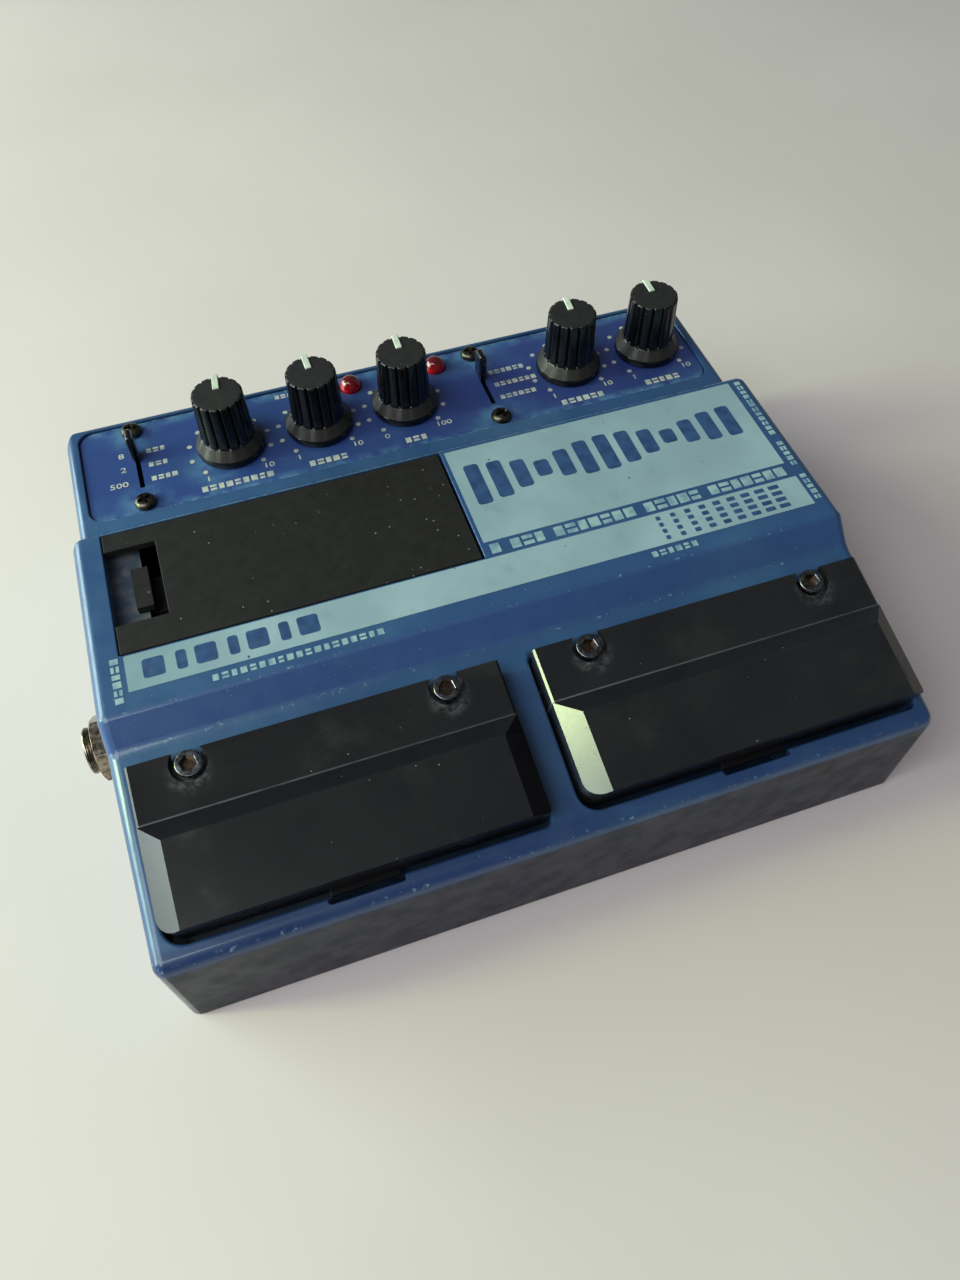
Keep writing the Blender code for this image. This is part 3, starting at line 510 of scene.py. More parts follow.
def panel_ink():
    """Royal blue print, violet to the right, rubbed pale round the screws and along its front edge, and paler along
    its rear edge as wear mixed with a painted reflection.
    """
    p = Paint("panel_ink")
    p.colour = p.mix(p.step(p.x, -40, 60), (45, 69, 128), (44, 61, 120))
    p.lay(p.patches(15, 4, 0.45, 0.72, 0, 0.5), (58, 92, 142))
    # Paler places: wear round the screws, near the time knob and along the front edge, and a painted reflection mixed
    # with wear along the rear edge.
    wear_and_reflection_places = [p.near(node_middle(screw), 3, 9) for side in SIDES for screw in PANEL_SCREWS[side]]
    wear_and_reflection_places += [p.near(node_middle("knob_time") + Vector((-6, -6, -9)), 2, 9.5),
             p.drop(p.y, PANEL_FRONT + 0.4, PANEL_FRONT + 3.4),
             p.step(p.y, PANEL_REAR - 4.2, PANEL_REAR - 0.4)]
    rub_and_reflection = p.both(p.any_of(*wear_and_reflection_places), p.patches(5, 5, 0.36, 0.62, rough=0.62))
    p.lay(rub_and_reflection, (78, 120, 158), 0.85)
    edge = p.any_of(p.step(p.y, PANEL_REAR - 0.75, PANEL_REAR - 0.3),
                    p.drop(p.y, PANEL_FRONT + 0.3, PANEL_FRONT + 0.8))
    p.lay(p.both(edge, p.patches(1.8, 4, 0.52, 0.58, rough=0.7)), (128, 168, 190))
    p.lay(p.hairlines(8, 0.03, (1.5, 11, 1)), (108, 138, 190), 0.4)
    p.lay(p.specks(2, 0.09), (140, 160, 190), 0.3)
    return p.finish(p.step(rub_and_reflection, 0, 1, 0.3, 0.46), Normal=p.bump(p.noise(1.3, 3), 0.03, 0.5),
                    Coat_Weight=0.2, Coat_Roughness=0.2)


def pale_ink():
    """The large pale teal print on the top, with hairline scratches and small chips to the paint."""
    p = Paint("pale_teal_ink")
    p.base((134, 159, 170), (149, 175, 185), 26, 3)
    p.lay(p.step(p.x, -86, -50, 0.6, 0), (108, 140, 150))
    p.lay(p.patches(0.7, 3, 0.6, 0.8, 0, 0.35), (112, 146, 160))
    p.lay(p.patches(7, 5, 0.55, 0.74, 0, 0.3, 0.62), (108, 138, 148))
    chips = p.specks(5.5, 0.07, (11, 2, 0.42, 0.5))
    lines = p.hairlines(9, 0.022, (9, 1.2, 1))
    p.lay(p.any_of(chips, p.both(lines, 0.8)), (46, 76, 120))
    return p.finish(p.patches(4, 3, 0.3, 0.7, 0.42, 0.56), Normal=p.bump(p.noise(0.9), 0.04, 0.5))


def plain_ink(name, light, dark):
    """A thin screen-printed ink that varies between two close tones."""
    p = Paint(name)
    p.base(light, dark, 3)
    p.lay(p.patches(0.8, 4, 0.62, 0.72, 0, 0.5, 0.7), dark)
    return p.finish(p.patches(2, 2, 0.3, 0.7, 0.4, 0.55), Normal=p.bump(p.noise(0.8), 0.03, 0.4))


def moulded(name, tone_a, tone_b, rough_low, rough_high, grain=0.35, depth=0.03, dust=0.25, coat=0, shine=0.5):
    """Moulded plastic with a fine grain, dust specks and light handling wear."""
    p = Paint(name)
    p.base(tone_a, tone_b, 4)
    p.lay(p.specks(3, 0.085, (9, 2, 0.42, 0.55)), (150, 150, 148), dust)
    return p.finish(p.patches(2.5, 4, 0.3, 0.75, rough_low, rough_high),
                    Normal=p.bump(p.noise(grain), depth, 0.6), Coat_Weight=coat, Coat_Roughness=0.08,
                    Specular_IOR_Level=shine)


def knob_paint():
    """Black moulding: a matte cap, a glossy grooved body, a satin cone and a glossy rim."""
    p = Paint("knob_black")
    cap = p.step(p.z, KNOB_TOP - 0.1, KNOB_TOP - 0.02)
    cone = p.within(p.z, 50.6, 50.72, 53.1, 53.3)
    p.base((8, 8, 11), (14, 14, 17), 3)
    p.lay(cone, p.mix(p.noise(2.2, 4), (33, 32, 30), (46, 45, 40)))
    p.lay(cap, p.mix(p.patches(1.8, 5, 0.35, 0.7, rough=0.62), (29, 29, 29), (36, 36, 35)))
    p.lay(p.specks(2.2, 0.07, (7, 2, 0.45, 0.6)), (150, 150, 148), 0.35)
    duller = p.calc("ADD", p.both(cap, 0.42), p.both(cone, 0.28))
    rough = p.calc("ADD", p.patches(2.5, 4, 0.3, 0.75, 0.15, 0.24), duller)
    return p.finish(rough, Normal=p.bump(p.noise(0.35), 0.02, 0.5), Specular_IOR_Level=0.4)


def treadle_paint(side, shine=0.5, coat=0.35):
    """Black satin powder coat: fine grain, pale smudges round the cap screws, painted shade on the pad's rear bevel, a
    painted highlight along the crease, a few specks and scratches.
    """
    p = Paint(f"treadle_black_{side}")
    p.base((23, 23, 25), (29, 29, 31), 18)
    smudges = [p.near(node_middle(screw) + Vector((-0.3, -1.8, 0)), 3.4, 6.6) for screw in CAP_SCREWS[side]]
    smudge = p.both(p.any_of(*smudges), p.patches(1.6, 5, 0.36, 0.7, rough=0.65))
    p.lay(smudge, (112, 114, 118), 0.45)
    haze = p.patches(24, 5, 0.5, 0.75, rough=0.6)
    p.lay(haze, (92, 92, 92), 0.06)
    along = p.calc("ADD", p.both(p.calc("SUBTRACT", p.y, TREADLE_REAR_Y), cos(TREADLE_TILT)),
                   p.both(p.calc("SUBTRACT", p.z, TREADLE_REAR_Z), sin(TREADLE_TILT)))
    # Painted shade: the pad's rear bevel is darkened.
    bevel_front = -CREASE - PAD_BEVEL
    p.lay(p.within(along, bevel_front, bevel_front + 0.4, -CREASE - 0.3, -CREASE), (9, 10, 14), 0.85)
    # Painted highlight: a broken pale line along the crease, brighter on the left.
    crease_highlight = p.both(p.band(along, -CREASE + 0.1, 0.32), p.patches(4, 3, 0.2, 0.6, 0.45, 1))
    middle = SIDES[side] * TREADLE_X
    p.lay(p.both(crease_highlight, p.step(p.x, middle - 40, middle + 30, 0.5, 0.25)), (118, 124, 134))
    p.lay(p.specks(4.2, 0.05, (16, 2, 0.48, 0.6)), (165, 168, 168), 0.55)
    p.lay(p.hairlines(10, 0.018, (7, 1.6, 1)), (110, 114, 120), 0.5)
    return p.finish(p.step(p.any_of(haze, smudge), 0, 1, 0.24, 0.4),
                    Normal=p.bump(p.noise(0.28), 0.02, 0.55), Coat_Weight=coat, Coat_Roughness=0.16,
                    Specular_IOR_Level=shine)


def metal(name, bright, dull, rough_low, rough_high, spot=None, brushed=EVEN, bronzed=()):
    """Plated metal with dull patches, fine scratches and, where given, brown spots and bronzed places."""
    p = Paint(name)
    p.colour = p.mix(p.patches(1.6, 5, 0.35, 0.7, rough=0.62), bright, dull)
    metallic = 1
    if spot is not None:
        rust = p.patches(0.9, 4, 0.54, 0.68, rough=0.7)
        p.lay(rust, spot, 0.8)
        metallic = p.step(rust, 0, 1, 1, 0.35)
    for place in bronzed:
        p.lay(p.near(place, 1.4, 2), (98, 76, 52), 0.8)
    return p.finish(p.patches(1.1, 4, 0.3, 0.7, rough_low, rough_high), Metallic=metallic,
                    Normal=p.bump(p.noise(0.5, 3, brushed), 0.02, 0.5))


def red_lens():
    """Clear red lamp resin, painted bright low down and darker at its crown: painted light where light passes through
    the resin, painted shade where one looks down onto the dark chip.
    """
    p = Paint("red_lamp")
    p.colour = p.mix(p.step(p.z, LABEL_TOP + 0.6, LABEL_TOP + 3.1), (196, 12, 26), (92, 8, 18))
    p.lay(p.patches(0.8, 3, 0.5, 0.8, 0, 0.3), (226, 60, 60))
    return p.finish(p.patches(0.6, 2, 0.3, 0.7, 0.1, 0.2), Subsurface_Weight=0.35,
                    Subsurface_Radius=(1, 0.15, 0.1), Subsurface_Scale=1.5 * MM, Coat_Weight=0.8,
                    Coat_Roughness=0.05, IOR=1.5)


def battery_wrap():
    """A scuffed metal jacket with a dark and a copper part."""
    p = Paint("battery_jacket")
    p.colour = p.mix(p.step(p.x, -34, -33.4), (58, 50, 46), (158, 112, 62))
    p.lay(p.patches(2, 5, 0.58, 0.7, 0, 0.5, 0.7), (150, 146, 140))
    return p.finish(p.patches(3, 2, 0.3, 0.7, 0.3, 0.45), Normal=p.bump(p.noise(1.5), 0.04, 0.4),
                    Coat_Weight=0.3, Coat_Roughness=0.2)


def solder_mask():
    """Green board with paler copper tracks under the mask, and black parts above its face."""
    p = Paint("green_board")
    wavy = p.calc("PINGPONG", p.calc("ADD", p.y, p.both(p.noise(12, 0), 6)), 1.6)
    straight = p.both(p.band(p.calc("PINGPONG", p.x, 4), 2, 0.3), p.patches(9, 2, 0.5, 0.55))
    tracks = p.any_of(p.band(wavy, 0.8, 0.28), straight)
    p.colour = p.mix(p.both(tracks, 0.7), (18, 74, 42), (46, 118, 66))
    p.lay(p.step(p.z, 9.7, 9.8), (26, 26, 28))
    return p.finish(p.patches(2, 2, 0.3, 0.7, 0.3, 0.5), Normal=p.bump(tracks, 0.05, 0.5))


def floor_paint():
    p = Paint("studio_floor")
    p.colour = p.mix(p.patches(160, 3, 0.3, 0.7), (210, 200, 198), (216, 206, 204))
    return p.finish(0.75, Normal=p.bump(p.noise(3, 3), 0.05, 0.2))


def cap_wall(screw):
    """The place on a cap screw's upright wall that has gone bronze."""
    high, middle = node_box(screw)[1:]
    return Vector((middle.x, middle.y + 0.5, high.z - 2.2))


BLUE = [blue_paint(), blue_paint(0.2, 0)]
PANEL_INK = panel_ink()
PALE_INK = pale_ink()
CREAM_INK = plain_ink("cream_ink", (186, 190, 180), (140, 150, 160))
TEAL_INK = plain_ink("small_teal_ink", (150, 178, 182), (108, 140, 160))
DARK_INK = plain_ink("dark_blue_ink", (48, 80, 124), (38, 64, 106))
KNOB_PAINT = knob_paint()
POINTER_WHITE = moulded("pointer_white", (212, 222, 206), (186, 196, 186), 0.4, 0.55, grain=0.5, depth=0.02, dust=0)
LEVER_BLACK = moulded("lever_black", (7, 7, 9), (12, 12, 14), 0.12, 0.2, grain=0.6, depth=0.01, dust=0.1, coat=0.5)
DOOR_PLASTIC = moulded("door_charcoal", (29, 28, 27), (33, 32, 31), 0.55, 0.7, grain=0.45, depth=0.05, dust=0.6,
                       shine=0.25)
SOCKET_PLASTIC = moulded("socket_black", (26, 26, 27), (36, 36, 36), 0.4, 0.55)
RUBBER = moulded("foot_rubber", (24, 24, 24), (34, 33, 32), 0.8, 0.92, grain=0.6, depth=0.08, dust=0.5)
AGED_STEEL = metal("aged_nickel", (96, 92, 82), (42, 40, 36), 0.24, 0.42, (48, 38, 28))
RUSTY_STEEL = metal("rusty_cap_screw", (126, 130, 134), (58, 58, 60), 0.2, 0.36, (62, 46, 34),
                    bronzed=[cap_wall(screw) for side in SIDES for screw in CAP_SCREWS[side]])
JACK_CHROME = metal("jack_chrome", (168, 158, 142), (104, 94, 82), 0.12, 0.26, (96, 78, 60))
ZINC = metal("zinc_plate", (172, 174, 172), (130, 132, 130), 0.32, 0.5, brushed=(1, 14, 1))
RED_LENS = red_lens()
WRAP = battery_wrap()
BOARD = solder_mask()
TREADLE_BLACK = {side: [treadle_paint(side), treadle_paint(side, 0.12, 0)] for side in SIDES}


# ---------------- case

def upright(a, b):
    return abs(a.x - b.x) < 0.01 and abs(a.y - b.y) < 0.01


def case_blank():
    """Front and middle block with rounded sides and bends, joined to the narrower rear block."""
    under = CASE_BOTTOM - 12
    outline = [(-HALF_D, under), (-HALF_D, FRONT_Z), (BAND_Y, BAND_Z), (SLOPE_Y, TOP_Z), (STEP_Y, TOP_Z),
               (STEP_Y, under)]
    bend_weight = {FRONT_Z: 1, BAND_Z: 0.5, TOP_Z: 0.35}

    def front_rule(a, b):
        if max(a.z, b.z) < CASE_BOTTOM:
            return 0
        if upright(a, b) or abs(a.y - b.y) > 0.01:
            return 1
        return bend_weight[min(bend_weight, key=lambda z: abs(z - a.z))]

    def rear_rule(a, b):
        if max(a.z, b.z) < CASE_BOTTOM or max(a.y, b.y) < STEP_Y:
            return 0
        if upright(a, b):
            return 1
        return 0.12 if abs(a.y - b.y) < 0.01 else 0.42

    front = bevel(weigh(side_prism(outline, -HALF_W, HALF_W), front_rule), EDGE_R, 8)
    rear = weigh(box_mesh((REAR_X0, STEP_Y - 10, under), (REAR_X1, HALF_D, REAR_Z)), rear_rule)
    return join(front, bevel(rear, REAR_CORNER_R, 8))


def hollow(case):
    """Takes out the inside, and trims what was drawn below the case's lower edge."""
    under = CASE_BOTTOM - 20
    front, rear = -HALF_D + WALL, STEP_Y - WALL
    behind_well = WELL_REAR + WALL
    drop = WELL_DEPTH + WALL
    ceiling = TOP_Z - WALL
    outline = [(front, under), (front, rim_z(front) - drop), (behind_well, rim_z(behind_well) - drop),
               (behind_well, rim_z(behind_well) - WALL), (BAND_Y + 0.9, BAND_Z - WALL), (SLOPE_Y + 0.9, ceiling),
               (rear, ceiling), (rear, under)]
    cut(case, side_prism(outline, -HALF_W + WALL, HALF_W - WALL))
    cut(case, box_mesh((REAR_X0 + WALL, rear - 1, under), (REAR_X1 - WALL, HALF_D - WALL, 45)))
    cut(case, box_mesh((-HALF_W * 2, -HALF_D * 2, under - 5), (HALF_W * 2, HALF_D * 2, CASE_BOTTOM)))


def cut_wells(case):
    """Two treadle wells with softly rounded mouths, a notch in each front rim, and the plungers' holes."""
    for side in SIDES.values():
        x0, x1 = sorted((side * WELL_IN, side * WELL_OUT))
        cut(case, pocket((x0, x1, WELL_FRONT, WELL_REAR), (1.6, 0.9, 0.9, 4.6), 0.8, rim_z,
                         lambda y: rim_z(y) - WELL_DEPTH))
        middle = side * TREADLE_X
        cut(case, pocket((middle - NOTCH_HALF, middle + NOTCH_HALF, NOTCH_FRONT, WELL_FRONT + 3), 0.8, 0.3, rim_z,
                         flat(rim_z(WELL_FRONT) - WELL_DEPTH + 0.3)))
        cut(case, rod(PLUNGER_HOLE_R, 8, 34, 32, (middle, PLUNGER_Y)))


def battery_opening(case):
    """Frame round the opening, the door's seat, the bay and the ledge under the finger notch."""
    x0, x1, y0, y1 = DOOR_LOW.x, DOOR_HIGH.x, DOOR_LOW.y, DOOR_HIGH.y
    bay_x1 = x1 + DOOR_GAP * 2
    join(case, box_mesh((x0 - 2, y0 - 2, 44.5), (x1 + 2, y1 + 1.6, 48.6)))
    cut(case, pocket((x0 - DOOR_GAP, bay_x1, y0 - DOOR_GAP, y1 + DOOR_GAP), 0.5, 0.3, flat(TOP_Z),
                     flat(TOP_Z - DOOR_T - DOOR_GAP), 3))
    for low, high in (((-77, y0 + 1.2, 40), (bay_x1, y1 - 1.2, 58)),
                      ((-2, y0 - DOOR_GAP, 46.9), (bay_x1, y1 + DOOR_GAP, 58.5)),
                      ((x0 - 0.15, LEDGE_Y0, LEDGE_Z), (LEDGE_X, LEDGE_Y1, 56))):
        cut(case, box_mesh(low, high))


def panel_openings(grow, slot_half):
    """Cutters for the holes of the knobs, lamps, levers and panel screws."""
    low, high = 40, 56
    shapes = [rod(KNOB_HOLE_R + grow, low, high, 32, node_middle(f"knob_{name}").xy) for name in KNOBS]
    shapes += [rod(LAMP_HOLE_R + grow, low, high, 32, node_middle(f"led_{number}").xy) for number in (1, 2)]
    for side, spot in LEVER_SPOTS.items():
        screws = [node_middle(screw) for screw in PANEL_SCREWS[side]]
        centre = (screws[0].y + screws[1].y) / 2
        shapes.append(box_mesh((spot.x - slot_half, centre - SLOT_REACH, low),
                               (spot.x + slot_half, centre + SLOT_REACH, high)))
        shapes += [rod(SCREW_HOLE_R, low, high, 24, screw.xy) for screw in screws]
    return shapes


def build_case():
    case = case_blank()
    hollow(case)
    cut_wells(case)
    battery_opening(case)
    for x, y, high in POSTS:
        for side in SIDES.values():
            post = [(3.4, 3.4), (3.8, 3.8), (3.8, high)]
            join(case, turned_mesh(post, 24, (side * x, y)))
    cut(case, pocket((PANEL_X0, PANEL_X1, PANEL_FRONT, PANEL_REAR), 4.2, 0.35, flat(REAR_Z), flat(PANEL_Z), 8))
    for hole in panel_openings(0, 0.8):
        cut(case, hole)
    for name, side, radius in [(*jack, JACK_R + 0.3) for jack in JACKS.items()] + [("power_jack", 1, POWER_R + 0.4)]:
        middle = node_middle(name)
        cut(case, point_sideways(rod(radius, 84, 110, 48), middle.y, middle.z, side))
    made = piece("case_shell", case, BLUE, "case", "enclosure", 28)
    second_paint(made, lambda face: face.normal.y < -0.97 and face.center.y < (0.5 - HALF_D) * MM)


def build_control_plate():
    sides = (LABEL_LOW.x, LABEL_HIGH.x, LABEL_LOW.y, LABEL_HIGH.y)
    plate = scratch(loft_mesh([[(x, y, z) for x, y in rounded_rect(sides, 4, grow, 8)] for z, grow in
                               ((LABEL_LOW.z, 0), (LABEL_TOP - 0.06, 0), (LABEL_TOP, -0.08))]))
    for hole in panel_openings(0.15, 0.62):
        cut(plate, hole)
    piece("control_plate", plate, PANEL_INK, "case", "control_label")


# ---------------- print

INK, PRINT_GAP = 0.05, 0.005
DIAL_Z, PRINT_Z = LABEL_TOP + PRINT_GAP, TOP_Z + PRINT_GAP
DOT_R, DOT_RING = 0.66, 10.75
LETTERS = (0.8, 0.9, 0.7, 0.9, 0.8)


def word(count):
    """Widths, against their height, of the plain blocks in place of a word of so many letters."""
    return [LETTERS[i % 5] for i in range(count)]


def add_patch(bm, x0, x1, y0, y1, z, round_r=0.2, pivot=None):
    """A thin raised patch of ink with rounded corners, turned about the pivot's centre by its angle."""
    rows = add_loft(bm, levels(rounded_rect((x0, x1, y0, y1), round_r, 0, 3), z, z + INK))
    if pivot is not None:
        centre, angle = pivot
        verts = [vert for row in rows for vert in row]
        bmesh.ops.rotate(bm, cent=(*centre, 0), matrix=Matrix.Rotation(angle, 3, "Z"), verts=verts)


def add_blocks(bm, x, y, height, widths, z, gap=0.3, turn=None):
    """A row of plain blocks that takes the place of a printed word. It starts at x and centres on y."""
    pivot = ((x, y), turn) if turn else None
    for i, width in enumerate(widths):
        wide = width * height
        for low, high in ((0.11, 0.5), (-0.5, -0.11)) if i % 3 == 1 else ((-0.5, 0.5),):
            add_patch(bm, x, x + wide, y + low * height, y + high * height, z, 0.08, pivot)
        x += wide + gap * height
    return x


def add_number(bm, text, x, y, height):
    """Dial figures in the plain built-in face, widened, lying on the control panel."""
    size_for_height, widen = 1.38, 1.3
    curve = bpy.data.curves.new("figure", "FONT")
    curve.body = text
    curve.size = height * size_for_height
    curve.align_x, curve.align_y = "CENTER", "CENTER"
    curve.offset = 0.03
    curve.extrude = INK / 2
    curve.resolution_u = 3
    holder = new_object("figure", curve)
    mesh = evaluated_mesh(holder)
    bpy.data.objects.remove(holder)
    mesh.transform(Matrix.Translation((x, y, DIAL_Z + INK / 2)) @ Matrix.Diagonal((widen, 1, 1, 1)))
    bm.from_mesh(mesh)
    bmesh.ops.remove_doubles(bm, verts=bm.verts, dist=0.001)


def build_dial_print():
    """Ten dots round each knob with figures at its ends, and plain blocks in place of the words."""
    bm = bmesh.new()
    height, space = 1.9, 0.3
    for name, letters in zip(KNOBS, (9, 5, 3, 6, 5)):
        middle = node_middle(f"knob_{name}")
        cx, cy = middle.x - 0.4, middle.y
        for i in range(10):
            a = radians(223.5 - 30 * i)
            spot = (cx + DOT_RING * cos(a), cy + DOT_RING * sin(a))
            add_loft(bm, levels(circle(DOT_R, 20, centre=spot), DIAL_Z, DIAL_Z + INK))
        low, high = ("0", "100") if name == "mix" else ("1", "10")
        add_number(bm, low, cx - 7.4, cy - 10.1, 1.7)
        add_number(bm, high, cx + 8.4, cy - 10.1, 1.7)
        length = sum(word(letters)) * height + space * height * (letters - 1)
        add_blocks(bm, cx - length / 2 - 0.4, cy - 13.3, height, word(letters), DIAL_Z, space)
    left, right = LEVER_SPOTS["left"], LEVER_SPOTS["right"]
    for row, figure in enumerate(("8", "2", "500")):
        y = 60 - 5.2 * row
        add_number(bm, figure, left.x - 3.9 - 0.9 * (len(figure) - 1), y, 1.8)
        add_blocks(bm, left.x + 2.6, y, 1.6, word(3 if row < 2 else 4), DIAL_Z)
        add_blocks(bm, right.x + 2.6, y - 0.6, 1.6, word(6 + row % 2), DIAL_Z)
    add_blocks(bm, -33.6, 69, 1.5, word(4), DIAL_Z)
    piece("dial_print", bm, CREAM_INK, "case", angle=40)


def build_pale_print():
    """The large print on the top and the strip in front of it."""
    bm = bmesh.new()
    for sides in ((3.6, 85.9, -0.2, 31.7), (-83.9, 86.5, -15, -5.2)):
        add_patch(bm, *sides, PRINT_Z, 0.15)
    piece("pale_print", bm, PALE_INK, "case", angle=40)


def build_small_print():
    """Blocks in place of the words on the blue: in the band, along the front and by the jacks."""
    bm = bmesh.new()
    x = 4.6
    for letters in (1, 3, 7, 5, 7):
        x = add_blocks(bm, x, -2.65, 3, word(letters), PRINT_Z, 0.22) + 2.2
    quarter = -pi / 2
    for x, y, height, letters, gap, turn in (
            (-65.8, -17.3, 1.7, 19, 0.42, None), (41, -17, 1.7, 6, 0.42, None),
            (-86.1, -5.2, 1.9, 6, 0.3, quarter), (88.3, 31.5, 1.6, 5, 0.34, quarter),
            (88.3, 22.6, 1.6, 7, 0.34, quarter), (88.3, 7.2, 1.6, 5, 0.34, quarter),
            (88.3, -5, 1.6, 5, 0.34, quarter)):
        add_blocks(bm, x, y, height, word(letters), PRINT_Z, gap, turn)
    piece("small_print", bm, TEAL_INK, "case", angle=40)


def build_dark_print():
    """A run of pulses that die away, with a plain row of blocks and a stepped pattern on the strip."""
    bm = bmesh.new()
    z = PRINT_Z + INK
    for i in range(13):
        x = 6.6 + 5.9 * i
        half = 7 * (0.42 + 0.58 * abs(cos(pi * i / 6))) * (1 - 0.018 * i)
        add_patch(bm, x, x + 3.9, 18.6 - half, 18.6 + half, z, 0.9)
    for i in range(7):
        width, shift = (3, 1.6) if i % 2 else (6.2, 0)
        x = -80.2 + 5.9 * i + shift
        add_patch(bm, x, x + width * 0.78, -12.6, -7.4, z, 0.7)
    for column in range(9):
        for row in range(4):
            half = 0.55 + 0.11 * column
            x, y = 47 + 4 * column, -13.2 + 2.1 * row
            add_patch(bm, x - half, x + half, y - 0.62, y + 0.62, z, 0.2)
    piece("dark_print", bm, DARK_INK, "case", angle=40)


# ---------------- controls

GROOVES = 15
GROOVE_STEPS = (0, 0.035, 0.07, 0.105, 0.14, 0.175, 0.22, 0.29, 0.36, 0.43, 0.5, 0.57, 0.64, 0.71, 0.78, 0.825,
                0.86, 0.895, 0.93, 0.965)
POINTER_TURN = {"time": 6, "repeats": -1, "mix": 2, "output": 5, "input": 1.5}


def upright_place(middle, degrees):
    """Stands a part drawn about the origin at a middle, turned about its own axis."""
    return Matrix.Translation((middle.x, middle.y, 0)) @ Matrix.Rotation(radians(degrees), 4, "Z")


def grooved_ring(radius, depth, z):
    """A ring of wide rounded lobes parted by narrow grooves. A lobe's middle lies under the pointer."""
    groove_half = 0.2
    points = []
    for lobe in range(GROOVES):
        for t in GROOVE_STEPS:
            a = tau * (lobe + t + 0.5) / GROOVES + pi / 2
            away = min(t, 1 - t)
            sink = depth * (cos(pi * min(away, groove_half) / groove_half) + 1) / 2
            r = radius - sink - 0.3 * depth * (1 - 2 * away) ** 4
            points.append((r * cos(a), r * sin(a), z))
    return points


def build_knob(name):
    """A fluted knob on a skirt, with the shaft's socket open below, and its white pointer."""
    body = f"knob_{name}"
    low, high, middle = node_box(body)
    rim = [(6.6, 0), (8.7, 0), (8.87, 0.07), (8.95, 0.25)]
    outside = [(8.95, -15.98, 0), (8.91, -15.84, 0), (8.8, -15.74, 0), (7.32, -13.28, 0), (7.14, -13.14, 0.06),
               (7.04, -13, 0.22), (6.98, -12.8, 0.4), (6.94, -12.5, 0.5), (6.92, -12, 0.52), (6.52, -0.65, 0.5),
               (6.49, -0.4, 0.47), (6.4, -0.2, 0.42), (6.26, -0.07, 0.36), (6.08, -0.01, 0.24), (5.5, 0, 0)]
    socket = [(6.4, 3.4), (3.3, 3.4), (3.3, 13.5)]
    rings = [grooved_ring(r, 0, low.z + z) for r, z in rim]
    rings += [grooved_ring(r, depth, KNOB_TOP + z) for r, z, depth in outside]
    bm = bmesh.new()
    rows = add_loft(bm, rings, closed=False)
    crown = bm.verts.new((0, 0, KNOB_TOP))
    inner = [[bm.verts.new(point) for point in grooved_ring(r, 0, low.z + z)] for r, z in socket]
    roof = bm.verts.new((0, 0, low.z + socket[-1][1]))
    count = len(rows[0])
    for i in range(count):
        j = (i + 1) % count
        bm.faces.new((rows[-1][i], rows[-1][j], crown))
        bm.faces.new((inner[-1][i], inner[-1][j], roof))
        for lower, upper in zip([rows[0]] + inner, inner):
            bm.faces.new((lower[i], lower[j], upper[j], upper[i]))
    place = upright_place(middle, -POINTER_TURN[name])
    piece(f"{body}_shell", bm, KNOB_PAINT, body, body, 38, place)
    pointer = bevel(box_mesh((-0.82, 1.5, high.z - 1.1), (0.82, 6.75, high.z)), 0.2, 3, 30)
    piece(f"pointer_{name}", pointer, POINTER_WHITE, body, place=place)


def build_lamp(number):
    node = f"led_{number}"
    low, high, middle = node_box(node)
    radius = (high.x - low.x) / 2
    rim = LABEL_TOP + 0.35
    profile = [(radius - 0.3, low.z), (radius, low.z + 0.3), (radius, rim)]
    profile += dome(radius, rim, high.z - rim, 10)
    piece(f"lamp_{number}", turned_mesh(profile, 48, middle.xy), RED_LENS, "case", node, 50)


def cross_cutter(reach, width, top, depth):
    """A cross recess that narrows as it goes down."""
    arms = []
    for flip in (False, True):
        rings = []
        for z, shrink in ((top - depth, 0.45), (top, 1), (top + 2, 1.35)):
            a, b = reach * shrink, width * (0.6 + 0.4 * shrink)
            a, b = (b, a) if flip else (a, b)
            rings += levels([(-a, -b), (a, -b), (a, b), (-a, b)], z)
        arms.append(loft_mesh(rings))
    return join(*arms)


def build_panel_screw(side, end, turn):
    node = f"panscrew_{side}_{end}"
    low, high, middle = node_box(node)
    radius = (high.x - low.x) / 2
    seat = high.z - 1.85
    profile = [(0.7, low.z), (1.2, low.z + 0.5), (1.2, seat), (radius - 0.25, seat), (radius - 0.04, seat + 0.12),
               (radius, seat + 0.35)]
    profile += dome(radius, seat + 0.35, 1.5, 8, 0.62)
    screw = cut(turned_mesh(profile), cross_cutter(1.75, 0.46, high.z - 0.15, 1.3))
    piece(f"panel_screw_{side}_{end}", screw, AGED_STEEL, "case", node, 35,
          upright_place(middle, turn))


def build_lever(side):
    node = f"lever_{side}"
    low, high, middle = node_box(node)
    sections = [(low.z, 0.4, 1.8), (LABEL_TOP + 0.3, 0.4, 1.8), (LABEL_TOP + 0.45, 0.8, 1.95), (49.4, 1.02, 2.15),
                (51, 1.08, 2.2), (high.z - 1.6, 1.08, 2.2), (high.z - 0.8, 0.98, 2.05), (high.z - 0.3, 0.76, 1.75),
                (high.z - 0.06, 0.46, 1.35), (high.z, 0.2, 0.9)]
    bm = loft_mesh([ring for z, a, b in sections
                    for ring in levels(rounded_rect((-a, a, -b, b), min(a, b) * 0.45, 0, 4), z)])
    bmesh.ops.translate(bm, vec=(middle.x, middle.y, 0), verts=bm.verts)
    piece(f"{node}_stick", bm, LEVER_BLACK, node, node, 35)


# ---------------- treadles

